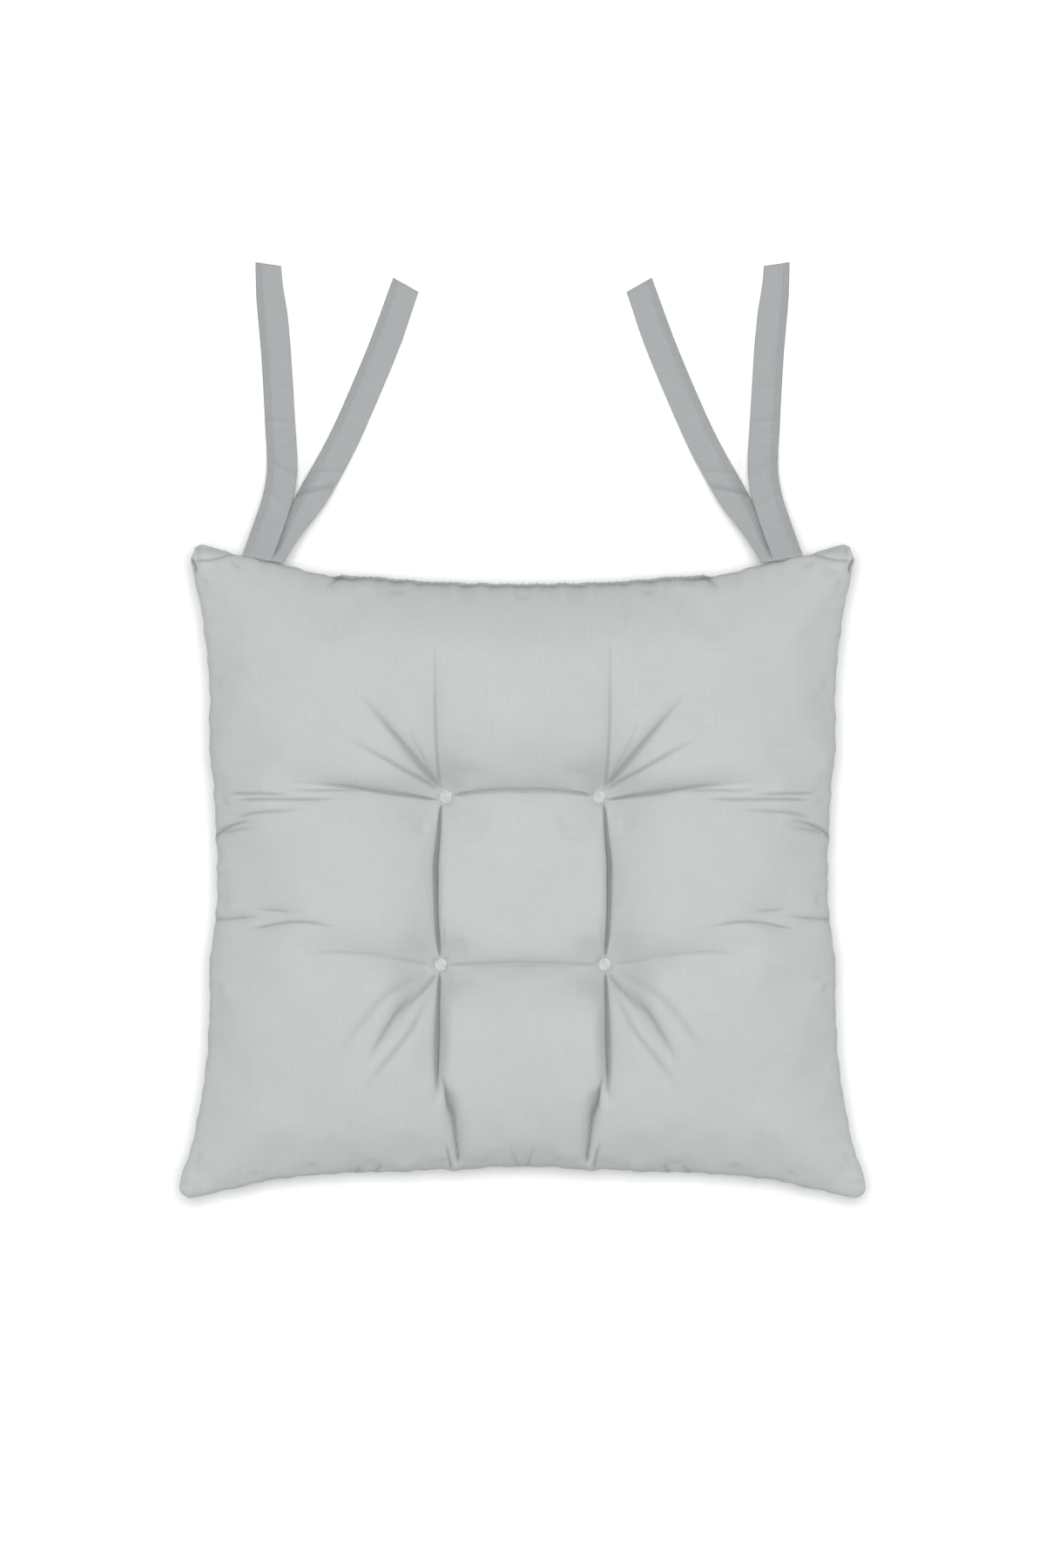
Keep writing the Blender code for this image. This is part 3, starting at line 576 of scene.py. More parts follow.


# ---------- creases and pleats of the top

# Each crease: its path in millimetres, left of the middle; how deep it is; how wide on the left and on the right of its
# way; how deep the slit at its bottom is, which also sets how strong the painted shade along it is; how much of each
# end it fades over; and, where given, how wide the painted shade line is
creases = [
    # beside the middle square, between the tufts
    dict(path=[(-44.5, 43), (-47.1, 38), (-48.7, 20), (-50.1, 5), (-50.1, -5), (-49.6, -30), (-48.1, -48), (-47.5, -54)],
         deep=0.9, left=1.2, right=3.0, slit=2.6, fade=(0.06, 0.06), line=0.75),
    # rear tuft towards the rear edge
    dict(path=[(-44.5, 43), (-47.8, 50), (-50.1, 81), (-50.4, 129), (-50.8, 150)],
         deep=0.6, left=4.0, right=3.0, slit=0.8, fade=(0.05, 0.6), line=0.7),
    # rear tuft to rear tuft
    dict(path=[(-44.5, 43), (-27.8, 45.6), (-10.1, 47.1), (0, 46.6), (4, 46.4)],
         deep=1.4, left=3.0, right=4.0, slit=1.3, fade=(0.1, 0.0)),
    # front tuft to front tuft
    dict(path=[(-47.5, -54), (-25, -53.6), (0, -53.5), (4, -53.5)],
         deep=1.0, left=3.0, right=4.0, slit=0.8, fade=(0.1, 0.0)),
    # front tuft towards the front edge
    dict(path=[(-47.5, -54), (-48.2, -60), (-49.1, -91), (-49.9, -127), (-49.5, -136)],
         deep=0.9, left=1.2, right=3.0, slit=2.6, fade=(0.05, 0.3), line=0.65),
    dict(path=[(-47.5, -112), (-46.1, -120.5), (-40.5, -141.8), (-37.5, -165), (-37, -172)],
         deep=2.2, left=2.2, right=3.0, slit=2.6, fade=(0.35, 0.08), line=0.65),
    dict(path=[(-45, -155), (-43, -162.5), (-41.5, -173.2)], deep=1.8, left=2.0, right=2.5, slit=1.2, fade=(0.5, 0.1)),
    # rear tuft to the side
    dict(path=[(-44.5, 43), (-52, 42), (-85.1, 46.6), (-107, 49.5), (-128.6, 51.6), (-140, 52)],
         deep=1.4, left=4.0, right=2.4, slit=1.9, fade=(0.0, 0.5), line=0.6),
    dict(path=[(-88, 46.8), (-107.3, 47.5), (-127.6, 47.0), (-141, 48.8)],
         deep=1.0, left=2.5, right=3.0, slit=0.8, fade=(0.3, 0.5)),
    dict(path=[(-101, 43), (-120, 42), (-144.3, 42), (-170, 41)], deep=1.9, left=3.0, right=2.4, slit=1.0, fade=(0.3, 0.2)),
    dict(path=[(-130, 44.9), (-150, 45.0), (-172, 45.2)], deep=1.6, left=2.4, right=2.2, slit=0.9, fade=(0.4, 0.2)),
    dict(path=[(-121, 36), (-138, 35.2), (-155.4, 33.9), (-168, 30.5)],
         deep=1.9, left=3.0, right=3.5, slit=0.9, fade=(0.5, 0.2)),
    dict(path=[(-181, 15), (-179.2, 18), (-176.2, 23.3), (-163, 28.4), (-150, 29)],
         deep=3.2, left=3.0, right=3.5, slit=1.6, fade=(0.0, 0.6)),
    dict(path=[(-176, 21.5), (-172.6, 23.0), (-149.4, 26.5)], deep=1.5, left=2.0, right=3.0, slit=0.7, fade=(0.1, 0.6)),
    # side pleats towards the front
    dict(path=[(-180, -28), (-170, -27.5), (-159.5, -26.3), (-150, -25)],
         deep=1.8, left=2.5, right=3.0, slit=0.9, fade=(0.05, 0.5)),
    dict(path=[(-160, -33.5), (-150.4, -31.5), (-131.1, -28.4), (-103.8, -32)],
         deep=2.0, left=3.0, right=4.0, slit=0.9, fade=(0.2, 0.35)),
    dict(path=[(-156, -21.5), (-145, -22.2), (-131, -23)], deep=1.2, left=2.0, right=2.5, slit=0.6, fade=(0.4, 0.4)),
    dict(path=[(-47.5, -54), (-60, -52.5), (-81, -48.5), (-109.4, -46), (-133, -49)],
         deep=1.0, left=6.0, right=6.0, slit=0.5, fade=(0.05, 0.35)),
    # fans out of the rear tuft
    dict(path=[(-46, 46), (-52.7, 54.0), (-75, 80), (-97, 107)], deep=2.4, left=5.0, right=2.6, slit=1.2, fade=(0.0, 0.5), line=1.3),
    dict(path=[(-46, 45), (-53.7, 50.5), (-77, 64), (-106, 80)], deep=2.0, left=3.0, right=4.5, slit=0.9, fade=(0.0, 0.5), line=1.3),
    dict(path=[(-46, 47), (-51, 54), (-60.8, 73), (-71, 97)], deep=1.5, left=5.0, right=5.0, slit=0.3, fade=(0.15, 0.6)),
    # fans out of the front tuft
    dict(path=[(-48, -56), (-53.3, -63.3), (-63, -73), (-72.1, -83), (-87.6, -106.3), (-92, -113)],
         deep=2.8, left=5.0, right=3.5, slit=0.9, fade=(0.0, 0.35), line=1.5),
    dict(path=[(-50, -62), (-56, -76), (-64.5, -91.5), (-78, -108), (-93, -128)],
         deep=2.4, left=4.0, right=5.0, slit=0.5, fade=(0.4, 0.35), line=1.8),
    dict(path=[(-50, -56), (-64, -62), (-80, -72), (-95, -90), (-110, -111)],
         deep=2.2, left=5.0, right=6.0, slit=0.3, fade=(0.3, 0.4), line=2.2),
    # ends of the closed opening, and the folded ears of the rear corners
    dict(path=[(-104, 171.5), (-109.4, 168.5), (-112.5, 165.5), (-115, 162)],
         deep=1.8, left=4.0, right=2.5, slit=0.8, fade=(0.1, 0.6)),
    dict(path=[(-112, 171.5), (-106, 170.4), (-98, 169.6)], deep=0.3, left=2.0, right=2.0, slit=2.2, fade=(0.3, 0.4), line=1.3),
    dict(path=[(-165, 186.5), (-173, 183.6), (-180, 181.3), (-187, 180.4), (-191.5, 180)],
         deep=2.6, left=1.2, right=6.0, slit=0.8, fade=(0.25, 0.1), line=0.9),
    dict(path=[(-192.6, 182), (-191.2, 178), (-190.2, 172)], deep=0.8, left=1.5, right=1.5, slit=2.6, fade=(0.2, 0.4)),
    dict(path=[(-168, 188), (-178, 187), (-191, 187)], deep=0.3, left=4.0, right=4.0, slit=0.4, fade=(0.2, 0.1), line=3.4),
    # nicks in the front edge
    dict(path=[(-8.6, -156), (-4.5, -166), (-2.5, -173)], deep=1.0, left=3.0, right=3.0, slit=0.5, fade=(0.6, 0.0)),
    dict(path=[(-92.5, -170), (-94.7, -172.8), (-97, -175.5)], deep=1.2, left=2.0, right=2.5, slit=1.0, fade=(0.4, 0.0)),
    dict(path=[(-81, -169.5), (-83.2, -172.2), (-85, -175)], deep=1.2, left=2.0, right=2.5, slit=1.0, fade=(0.4, 0.0)),
]
slitWidth = 0.0010


def creaseDepth(x, y, crease):
    # How far the cloth sinks by one crease: its depth times a pointed valley, e to the minus distance over width with
    # its own width on each side, plus a thin slit, faded in and out along the path. It also gives the painted shade
    # along the crease: a dark line, stronger the deeper the slit, faded like the crease.
    path = curveThrough(np.array(crease["path"]) / 1000, 26)
    reach = 0.0035 * max(crease["left"], crease["right"]) + 0.004
    near, gap, isLeft, along = nearPath(x, y, path, reach)
    width = np.where(isLeft, crease["left"], crease["right"]) / 1000
    valley = 0.55 * crease["deep"] * np.exp(-(np.sqrt(gap**2 + 0.0003**2) - 0.0003) / width) * hill(gap, reach)
    slit = 0.35 * crease["slit"] * np.exp(-gap / slitWidth)
    fade = fadeAlong(along, crease["fade"])
    sunk, dark = np.zeros_like(x), np.zeros_like(x)
    sunk[near] = (valley + slit) * fade / 1000
    line = crease.get("line", 0.85) / 1000
    # Painted shade: a dark line along the crease, gone about one line width off it
    dark[near] = np.minimum(crease["slit"] / 2.6, 1) ** 0.7 * np.exp(-((gap / line) ** 2)) * fade
    return sunk, dark


def edgePuckers(u, v, x, y, phase):
    # Short gathers along the seam: a sum of three sines along the edge, strongest at the rim and gone 25 mm in
    fromSide = (1 - np.abs(u)) * pad["waistX"]
    fromEnd = (1 - np.abs(v)) * pad["rearMidY"]
    def waves(s):
        return (0.5 * np.sin(s * 2 * math.pi / 0.0137 + phase + 1.5 * np.sin(s * 31.0 + phase))
                + 0.35 * np.sin(s * 2 * math.pi / 0.0223 + 2.1 + phase + np.sin(s * 19.0))
                + 0.25 * np.sin(s * 2 * math.pi / 0.0081 + 0.7 + 2 * phase))
    side = waves(y) * np.exp(-fromSide / 0.009)
    end = waves(np.abs(x) + 0.31) * np.exp(-fromEnd / 0.009)
    return side + end


def surfaceNormals(points):
    ahead = np.gradient(points, axis=1)
    up = np.gradient(points, axis=0)
    return unit(np.cross(ahead, up))


def undulation(x, y):
    # Slow unevenness of loose filling: four crossed sines, mirrored about the middle
    x = np.abs(x)
    return (0.5 * np.sin(x * 61 + 1.0) * np.sin(y * 47 + 0.4) + 0.35 * np.sin(x * 103 + y * 59 + 2.0)
            + 0.25 * np.sin(x * 89 - y * 131 + 0.5))


def panelSurface(u, v, top):
    # A cover panel on the crossings of u and v: crowned shape, settled cloth, gathers and, on top, creases; it also
    # gives the painted shade for each point
    gridU, gridV = np.meshgrid(u, v)
    points = coverShape(gridU, gridV, top)
    moved = topMove if top else bottomMove
    if moved is not None:
        points = points + readGrid(moved, u, v) * settling["share"]
    x, y = points[..., 0], points[..., 1]
    inside = smooth(np.minimum(1 - np.abs(gridU), 1 - np.abs(gridV)) / 0.25)
    seat = tuftPull(x, y, 0.0015, 0.0036)
    lift = undulation(x, y) * 0.0007 * inside
    lift = lift + edgePuckers(gridU, gridV, x, y, 0.0 if top else 1.3) * 0.0006
    dark = np.zeros_like(x)
    if top:
        sunk = np.zeros_like(x)
        for crease in creases:
            depth, shade = creaseDepth(x, y, crease)
            sunk, dark = sunk + depth, np.maximum(dark, shade)
        clear = 1 - tuftPull(x, y, 0.0009, 0.0034)
        lift = lift - 0.008 * np.tanh(sunk / 0.008) * clear
        # Painted shade: the crease shade is cleared near the tufts, and a faint dark ring is painted round each tuft's
        # knot
        ring = np.minimum(*(np.hypot(np.abs(x) - at[0], y - at[1]) for at in (rearTuft, frontTuft)))
        dark = np.maximum(dark * clear, 0.30 * np.exp(-(((ring - 0.0046) / 0.0014) ** 2)))
    normal = surfaceNormals(points) * (1 if top else -1)
    lift = lift * (1 - seat)
    rim = (np.abs(gridU) == 1) | (np.abs(gridV) == 1)
    lift[rim] = 0
    points = points + normal * lift[..., None]
    wave = edgePuckers(gridU, gridV, gridU * 0.19, gridV * 0.18, 0.0) * 0.0005
    outward = unit(np.stack([gridU * np.abs(gridU) ** 9, gridV * np.abs(gridV) ** 9, 0 * gridU], -1) + 1e-9)
    points = points + outward * wave[..., None]
    fromRear = (1 - gridV) * pad["rearMidY"]
    closing = 1 - smooth((np.abs(x) - 0.104) / 0.010)
    # Painted shade: a dark line along the top panel's rear rim where the opening is closed
    if top:
        dark = np.maximum(dark, closing * 0.9 * np.exp(-fromRear / 0.0009))
    else:
        lip = (fromRear + pad["lip"]) * smooth(fromRear / 0.0020) * (1 - smooth((fromRear - 0.004) / 0.010))
        points[..., 1] += lip * closing
    if not top:
        points[..., 2] = np.where(rim, points[..., 2], np.maximum(points[..., 2], pad["floorGap"]))
    return points, dark


def markPaintedShade(piece, dark):
    # Keeps with each point how much painted shade the cloth colour gets there (on the ties, also the darker hem band),
    # from 0 to 1
    marks = piece.data.attributes.new("inFold", "FLOAT", "POINT")
    marks.data.foreach_set("value", np.asarray(dark, np.float32).ravel())


def makePanel(name, u, v, top):
    points, dark = panelSurface(u, v, top)
    faces = gridFaces(len(v), len(u))
    if not top:
        faces = faces[:, ::-1]
    gridU, gridV = np.meshgrid(u, v)
    flat = np.stack([gridU * 0.204, gridV * 0.199], -1)
    piece = meshPiece(name, points, faces, coverCloth, flat)
    markPaintedShade(piece, dark)
    return piece, points


topU = ticks(pad["fineCells"], [(-tuftU, 0.045, 2.4), (tuftU, 0.045, 2.4), (-1, 0.06, 1.0), (1, 0.06, 1.0)])
topV = ticks(pad["fineCells"], [(rearV, 0.07, 1.4), (frontV, 0.05, 0.8), (-0.16, 0.05, 0.8),
                             (-1, 0.06, 1.0), (1, 0.06, 1.0)])
topU = nearest(nearest(topU, tuftU), -tuftU)
topV = nearest(nearest(topV, rearV), frontV)
coverTop, topPoints = makePanel("coverTopPanel", topU, topV, True)
underU = ticks(pad["underCells"], [(-tuftU, 0.05, 1.5), (tuftU, 0.05, 1.5), (-1, 0.06, 1.0), (1, 0.06, 1.0)])
underV = ticks(pad["underCells"], [(rearV, 0.06, 1.0), (frontV, 0.06, 1.0), (-1, 0.06, 1.0), (1, 0.06, 1.0)])
coverBottom, bottomPoints = makePanel("coverBottomPanel", underU, underV, False)
for piece, node in ((coverTop, "cover_top_panel"), (coverBottom, "cover_bottom_panel")):
    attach(piece, "pad")
    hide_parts(node)


def fillingSurface(points, top):
    # The cover's own surface drawn in: each place takes the lowest (or under, the highest) height of its neighbours
    # four places round (under, three), less the gap, and the plan shrinks towards the middle, more at the corners
    reach = 4 if top else 3
    z = points[..., 2] if top else -points[..., 2]
    padded = np.pad(z, reach, mode="edge")
    lowest = z.copy()
    for down in range(2 * reach + 1):
        for over in range(2 * reach + 1):
            lowest = np.minimum(lowest, padded[down:down + z.shape[0], over:over + z.shape[1]])
    lowest = (lowest if top else -lowest) - (fillingGap if top else -fillingGap)
    x, y = points[..., 0], points[..., 1]
    side, end = np.abs(x) / pad["frontCornerX"], np.abs(y) / pad["cornerY"]
    shrink = 1 - 0.016 - 0.10 * np.clip(side * end, 0, 1) ** 5
    z = np.maximum(lowest, seamZ + 0.0004) if top else np.minimum(lowest, seamZ - 0.0004)
    return np.stack([x * shrink, y * shrink, z], -1)


fillingGap = 0.0012


def makeFilling():
    # Two coarse sheets, one inside each cover panel, joined round their rims into one closed body
    step = 3
    top = fillingSurface(topPoints, True)[::step, ::step]
    under = fillingSurface(bottomPoints, False)
    rows = np.round(np.interp(topV[::step], underV, np.arange(len(underV)))).astype(int)
    cols = np.round(np.interp(topU[::step], underU, np.arange(len(underU)))).astype(int)
    under = under[rows][:, cols]
    under[..., :2] = top[..., :2]
    n, m = top.shape[:2]
    cells = gridFaces(n, m)
    number = np.arange(n * m).reshape(n, m)
    rim = np.concatenate([number[0, :-1], number[:-1, -1], number[-1, :0:-1], number[:0:-1, 0]])
    after = np.roll(rim, -1)
    wall = np.stack([rim + n * m, after + n * m, after, rim], -1)
    faces = np.concatenate([cells, cells[:, ::-1] + n * m, wall])
    filling = meshPiece("fibreFilling", np.concatenate([top.reshape(-1, 3), under.reshape(-1, 3)]), faces, fibreFinish)
    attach(filling, "pad")
    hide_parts("fibre_filling")


makeFilling()
print("cover panels made: top reaches %.1f mm" % (1000 * topPoints[..., 2].max()))


# ---------- seam threads: the line sewn round the rim, and the ladder stitches that close the rear opening

seam = {"radius": 0.00022, "pitch": 0.0042, "half": 0.106, "inset": 0.0004}


def makeSeamThreads():
    # The rim thread follows the top panel's own rim, a little inside it. Each ladder stitch is a short arc from the
    # top panel's edge over to the lip behind it, its height a half sine.
    rim = np.concatenate([topPoints[0, :-1], topPoints[:-1, -1], topPoints[-1, :0:-1], topPoints[:0:-1, 0]])
    rim = np.concatenate([rim, rim[:1]]) * (1 - seam["inset"] / 0.19, 1 - seam["inset"] / 0.19, 1)
    rings, faces = threadTube(rim[None], seam["radius"])
    line = meshPiece("rimThread", rings, faces, sewingThread)
    rearX, rearY = topPoints[-1, :, 0], topPoints[-1, :, 1]
    places = np.arange(-seam["half"], seam["half"], seam["pitch"])
    t = np.linspace(0, 1, 7)[None, :]
    x = places[:, None] + t * 0.0012
    y = np.interp(x, rearX, rearY) - 0.0009 + t * 0.0030
    z = seamZ + 0.0010 - 0.0013 * t + 0.0003 * np.sin(math.pi * t) + 0 * x
    rings, faces = threadTube(np.stack([x, y, z], -1), seam["radius"])
    ladder = meshPiece("closingStitches", rings, faces, sewingThread)
    for piece, node in ((line, "edge_seam_thread"), (ladder, "rear_closing_stitching")):
        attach(piece, "pad")
        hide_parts(node)


makeSeamThreads()


# ---------- tufts: a wound thread tack on each seat, with the tufting thread between

tack = {"threadRadius": 0.00042, "turns": 5.2, "steps": 190, "wraps": 8}


def makeTack(name, node, low, high, top):
    # A thread wound from the rim to the middle over a low dome: radius falls evenly with the turns and height is
    # the dome's root of one less share squared. A few straight wraps then cross over it.
    middle = (low + high) / 2
    radius, height = (high[0] - low[0]) / 2, high[2] - low[2]
    t = np.linspace(0, 1, tack["steps"])
    share = (1 - 0.97 * t) * (1 - tack["threadRadius"] / radius)
    turn = t * tack["turns"] * 2 * math.pi
    dome = (height - tack["threadRadius"] * 1.6) * np.sqrt(np.clip(1 - share**2, 0, 1)) + tack["threadRadius"] * 0.6
    paths = [np.stack([share * radius * np.cos(turn), share * radius * np.sin(turn), dome], 1)]
    across = np.linspace(-1, 1, tack["steps"])
    for k in range(tack["wraps"]):
        offset = (k - (tack["wraps"] - 1) / 2) * tack["threadRadius"] * 2.1
        reach = math.sqrt(max(radius**2 - offset**2, 1e-9)) * 0.96
        angle = 0.5 + 0.05 * k
        arch = height * np.sqrt(np.clip(1 - across**2, 0, 1)) + tack["threadRadius"] * 0.4
        line = np.stack([across * reach, np.full_like(across, offset), arch], 1)
        spun = np.array([[math.cos(angle), math.sin(angle), 0], [-math.sin(angle), math.cos(angle), 0], [0, 0, 1]])
        paths.append(line @ spun)
    rings, faces = threadTube(np.array(paths), tack["threadRadius"])
    rings = rings * (1, 1, 1 if top else -1) + (middle[0], middle[1], low[2] if top else high[2])
    if not top:
        faces = faces[:, ::-1]
    piece = meshPiece(name, rings, faces, tuftThread)
    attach(piece, "pad")
    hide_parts(node)


for facing in ("top", "bottom"):
    for row in ("rear", "front"):
        for side in ("left", "right"):
            node = "tuft_tack_%s_%s_%s" % (facing, row, side)
            _, low, high = tackPlace(node)
            makeTack("tack%s%s%s" % (facing.title(), row.title(), side.title()), node, low, high, facing == "top")
for node, thing in frame["nodes"].items():
    if node.startswith("tufting_thread"):
        thing.data.materials.clear()
        thing.data.materials.append(tuftThread)
print("tufts made")


# ---------- ties: cloth tape, both long edges turned in, folded in half and sewn along one edge

tie = {
    "width": 0.017, "thickness": 0.0012, "hem": 0.007, "droop": 0.110, "squareUp": 0.018, "floorGap": 0.0003,
    "endSlant": math.radians(9), "stations": 150, "stitchInset": 0.0040, "stitchPitch": 0.0031,
    "stitchLength": 0.0024, "stitchRadius": 0.00026,
    "insert": 0.0022,                                      # how deep the root lies in the seam
    "rootPlace": {"outer": 0.0103, "inner": -0.0010},     # from the hinge's middle towards the corner
    "rootWidth": {"outer": 1.0, "inner": 0.50},           # share of the width where it leaves the seam
    "openBy": {"outer": 0.012, "inner": 0.050},           # metres along where it is at its full width
    "curl": {"outer": 0.0006, "inner": 0.0100},           # how far the corner side hangs down at the root
    "endNarrow": {"outer": 0.14, "inner": 0.04}, "endTaper": 0.032,   # share that the far end is narrower by
    "routes": {                                           # towards the middle and rearward of the root
        "outer": [(0, 0), (0.0065, 0.0175), (0.0117, 0.0355), (0.0137, 0.0530), (0.0122, 0.0805),
                  (0.0098, 0.1205), (0.0072, 0.1505), (0.0065, 0.1720)],
        "inner": [(0, 0), (0.0100, 0.0190), (0.0215, 0.0390), (0.0342, 0.0623), (0.0438, 0.0825),
                  (0.0610, 0.1230), (0.0752, 0.1615)]},
    # soft folds across the tape: place along, slant, rise and width, in millimetres
    "folds": {
        "outer": [(36, 0.5, 0.5, 4.0), (55, 0.6, 0.6, 2.6), (83, 0.2, 0.6, 2.6), (104, 0.15, 0.3, 3), (128, 0.2, 0.3, 3)],
        "inner": [(46, -0.9, 1.6, 2.6), (52, -0.9, -0.8, 2.2), (60, -0.6, 0.6, 3.0), (98, 0.4, 0.3, 4), (134, -0.3, 0.3, 5)]},
    "hemShade": 0.20, "rootShade": {"outer": 0.0, "inner": 0.55},   # how dark the hem band is, and how strong the painted shade is where the inner root turns under
}


def tapeSection():
    # Half a millimetre of folded cloth: the lower hem inside, the lower face, round the fold, the upper face and
    # the upper hem. Gives the share across (-1 fold, 1 sewn edge), the share up and the distance over the cloth.
    half, thick = tie["width"] / 2, tie["thickness"] / 2
    hemIn = half - tie["hem"]
    bend = np.linspace(-math.pi / 2, -3 * math.pi / 2, 9)
    fold = np.stack([-half + thick + thick * np.cos(bend), thick * np.sin(bend)], 1)
    turnIn = np.array([[half - 0.0002, -thick * 0.85], [half, -thick * 0.62], [half - 0.0002, -thick * 0.40]])
    face = np.linspace(half - 0.0006, -half + thick + 0.0004, 22)
    lower = np.stack([face, np.full(22, -thick)], 1)
    hem = np.stack([np.linspace(hemIn, half - 0.0006, 5), np.full(5, -thick * 0.3)], 1)
    under = np.concatenate([hem, turnIn[::-1], lower])
    section = np.concatenate([under, fold, under[::-1] * (1, -1)])
    walked = np.concatenate([[0], np.cumsum(np.linalg.norm(np.diff(section, axis=0), axis=1))])
    return section, walked


def tieShape(side, place):
    # A tie's middle line, the ways across and up, and its heights. The line falls from the seam to the floor as the
    # square of what is left of the droop, and the way across turns from the seam's own to square across the tape.
    hinge = next(j for j in frame["record"]["behaviour"]["joints"]
                 if j["name"] == "tie_%s_%s_swing" % ("left" if side < 0 else "right", place))
    root, towards = np.array(hinge["pos_m"]), np.array(hinge["axis"]) * side
    start = root[:2] + towards[:2] * tie["rootPlace"][place]
    route = start + np.array(tie["routes"][place]) * (-side, 1)
    route[0, 1] -= tie["insert"]
    line = curveThrough(route, tie["stations"])
    ahead = unit(np.gradient(line, axis=0))
    along = np.concatenate([[0], np.cumsum(np.linalg.norm(np.diff(line, axis=0), axis=1))])
    square = np.stack([ahead[:, 1], -ahead[:, 0]], 1) * side
    turn = np.clip(along / tie["squareUp"], 0, 1)[:, None]
    across = unit(towards[:2] * (1 - turn) + square * turn)
    base = tie["floorGap"] + tie["thickness"] / 2
    z = base + (root[2] - base) * np.clip(1 - along / tie["droop"], 0, 1) ** 2
    middle = np.concatenate([line, z[:, None]], 1)
    across = np.concatenate([across, 0 * z[:, None]], 1)
    up = unit(np.cross(across, np.gradient(middle, axis=0)) * side)
    up = up * np.sign(up[:, 2:])
    return middle, across, up, along, np.concatenate([ahead, 0 * z[:, None]], 1), root


def tiePoints(side, place, reach, height):
    # Where the tape lies for shares across (reach, metres) and heights off its middle (height, metres)
    middle, across, up, along, ahead, root = tieShape(side, place)
    open_ = smooth(along / tie["openBy"][place])[:, None]
    narrow = tie["rootWidth"][place] + (1 - tie["rootWidth"][place]) * open_
    share = reach / (tie["width"] / 2)
    curl = -tie["curl"][place] * (1 - open_) * np.clip(share, 0, 1) ** 2 * smooth(along / 0.012)[:, None]
    folds = sum(rise / 1000 * hill(along[:, None] - at / 1000 - slant * reach, wide / 1000)
                for at, slant, rise, wide in tie["folds"][place])
    lift = height + curl + folds * (1 - 0.5 * smooth((np.abs(share) - 0.8) / 0.2))
    slant = reach * math.tan(tie["endSlant"]) * smooth((along / along[-1])[:, None]) ** 6
    drawnIn = tie["endNarrow"][place] * smooth((along[:, None] - along[-1]) / tie["endTaper"] + 1)
    points = (middle[:, None] + across[:, None] * (reach * narrow + (tie["width"] / 2 - reach) * drawnIn)[..., None]
              + up[:, None] * lift[..., None] + ahead[:, None] * slant[..., None])
    lowest = tie["floorGap"] + (height + tie["thickness"] / 2)
    points[..., 2] = np.maximum(points[..., 2], lowest)
    return points, along


def makeTie(side, place):
    sideName = "left" if side < 0 else "right"
    node = "tie_%s_%s" % (sideName, place)
    section, walked = tapeSection()
    reach = np.broadcast_to(section[:, 0], (tie["stations"], len(section)))
    height = np.broadcast_to(section[:, 1], reach.shape).copy()
    stitchAt = tie["width"] / 2 - tie["stitchInset"]
    height = height * (1 - 0.45 * np.exp(-(((reach - stitchAt) / 0.0009) ** 2)))
    points, along = tiePoints(side, place, reach, height)
    faces = gridFaces(tie["stations"], len(section))
    if side > 0:
        faces = faces[:, ::-1]
    flat = np.stack(np.broadcast_arrays(walked[None, :], along[:, None]), -1)
    piece = meshPiece("tie%s%s" % (sideName.title(), place.title()), points, faces, tieCloth, flat)
    share, far = reach / (tie["width"] / 2), along[:, None]
    # The hem band is darker, and painted shade lies on the corner side of the inner tie where its root turns under
    dark = np.maximum(tie["hemShade"] * smooth((share - 0.48) / 0.1),
                      tie["rootShade"][place] * hill(far - 0.042, 0.026) * smooth((share - 0.1) / 0.8))
    markPaintedShade(piece, dark)
    wall = piece.modifiers.new("cloth", "SOLIDIFY")
    wall.thickness, wall.offset = 0.00022, -1.0
    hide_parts(node)
    root = tieShape(side, place)[5]
    ahead = tieShape(side, place)[4][0]
    tuple(root + ahead * 0.012)
    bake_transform(piece)

    # stitches: short arcs of thread, up out of the cloth and back in, on both faces
    count = int((along[-1] - 0.010) / tie["stitchPitch"])
    starts = 0.006 + np.arange(count) * tie["stitchPitch"]
    paths = []
    for face in (1, -1):
        lift = face * (tie["thickness"] / 2 * 0.62 + 0.0001)
        line, _ = tiePoints(side, place, np.full((tie["stations"], 1), stitchAt), np.full((tie["stations"], 1), lift))
        _, _, up, _, _, _ = tieShape(side, place)
        t = np.linspace(0, 1, 7)
        at = starts[:, None] + t * tie["stitchLength"]
        rise = (np.sin(t * math.pi) * 0.00022 - 0.00010) * face
        paths.append(np.stack([np.interp(at, along, line[:, 0, k]) + rise * np.interp(at, along, up[:, k])
                               for k in range(3)], -1))
    rings, faces = threadTube(np.concatenate(paths), tie["stitchRadius"], 6)
    stitches = meshPiece("stitches%s%s" % (sideName.title(), place.title()), rings, faces, sewingThread)
    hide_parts("tie_stitching_%s_%s" % (sideName, place))
    tuple(root + ahead * 0.012)
    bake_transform(stitches)


for side in (-1, 1):
    for place in ("outer", "inner"):
        makeTie(side, place)
print("ties made")


# ---------- floor, light and camera

studio = {"floorHalf": 4.0, "floorGlow": 0.16, "cameraHeight": 2.5, "viewDeep": 0.9113, "viewMiddleY": 0.0506}


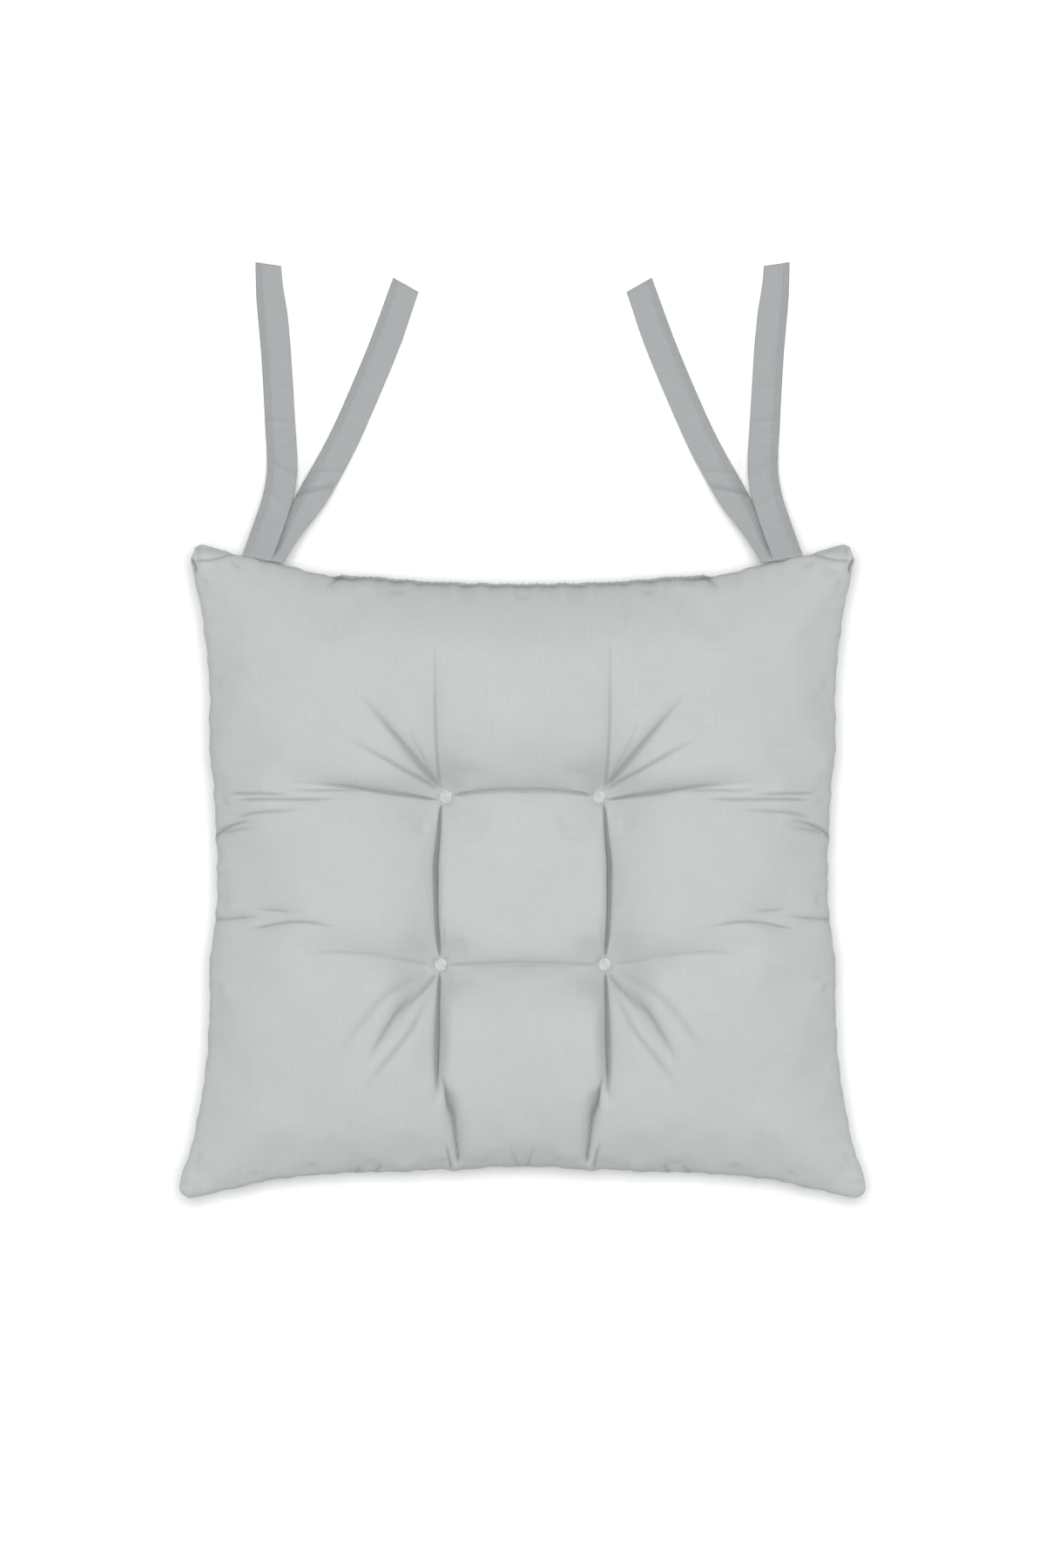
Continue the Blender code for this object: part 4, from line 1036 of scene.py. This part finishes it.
def makeFloor():
    half = studio["floorHalf"]
    corners = np.array([[-half, -half, 0], [half, -half, 0], [half, half, 0], [-half, half, 0]])
    paint = Finish("paleFloor")
    place = paint.add("ShaderNodeTexCoord").outputs["Object"]
    axes = paint.add("ShaderNodeSeparateXYZ", None, {0: place})
    x, y = paint.number(axes, 0), paint.number(axes, 1)
    # Painted light: the floor glows, not at all within 0.12 m of the middle and rising to full about 0.83 m out, so it
    # is brighter away from the pad
    away = (((x * x + y * y) ** 0.5 - 0.12) * 1.4).between(0.0, 1.0)
    glow = paint.add("ShaderNodeMix", {"data_type": "RGBA"}, {0: away, 6: (0, 0, 0, 1), 7: (1, 1, 1, 1)})
    cloud = paint.number(paint.add("ShaderNodeTexNoise", None, {"Vector": place, "Scale": 3.0, "Detail": 2.0}))
    colour = paint.add("ShaderNodeValToRGB", {"stops": [
        (0.0, (0.945, 0.945, 0.95, 1.0)), (1.0, (0.96, 0.96, 0.965, 1.0))]}, {0: cloud})
    material = paint.close("ShaderNodeBsdfPrincipled", {
        "Base Color": colour.outputs[0], "Roughness": 0.9, "Specular IOR Level": 0.0,
        "Emission Color": glow.outputs[2], "Emission Strength": studio["floorGlow"]})
    floor = meshPiece("floor", corners, [[0, 1, 2, 3]], material)


def makeLamp(name, place, aim, size, power):
    lamp = bpy.data.lights.new(name, "AREA")
    lamp.color = (1.0, 0.992, 0.98)
    lamp.shape, lamp.size, lamp.size_y, lamp.energy = "RECTANGLE", size[0], size[1], power
    stand = bpy.data.objects.new(name, lamp)
    bpy.context.scene.collection.objects.link(stand)
    away = np.array(place, float) - np.array(aim, float)
    flat = math.hypot(away[0], away[1])
    stand.location = place
    stand.rotation_euler = (math.atan2(flat, away[2]), 0.0, math.atan2(away[0], -away[1]) if flat > 1e-9 else 0.0)
    return stand


makeFloor()
makeLamp("overheadLamp", (0, 0.30, 2.8), (0, 0.05, 0), (1.4, 1.4), 72.5)
makeLamp("leftLamp", (-2.0, -0.4, 1.8), (0, 0, 0), (1.2, 1.0), 10)
makeLamp("rightLamp", (2.0, -0.4, 1.8), (0, 0, 0), (1.2, 1.0), 10)
world = bpy.data.worlds.new("studioAir")
world.use_nodes = True
world.node_tree.nodes["Background"].inputs[0].default_value = (0.72, 0.86, 1.0, 1.0)
world.node_tree.nodes["Background"].inputs[1].default_value = 0.07
bpy.context.scene.world = world
bpy.context.scene.view_settings.view_transform = "Standard"

lens = bpy.data.cameras.new("camera")
camera = bpy.data.objects.new("camera", lens)
bpy.context.scene.collection.objects.link(camera)
camera.location = (0.0, studio["viewMiddleY"], studio["cameraHeight"])
lens.sensor_width = 36.0
lens.lens = 36.0 * (studio["cameraHeight"] - seamZ) / studio["viewDeep"]
bpy.context.scene.camera = camera
print("studio set")
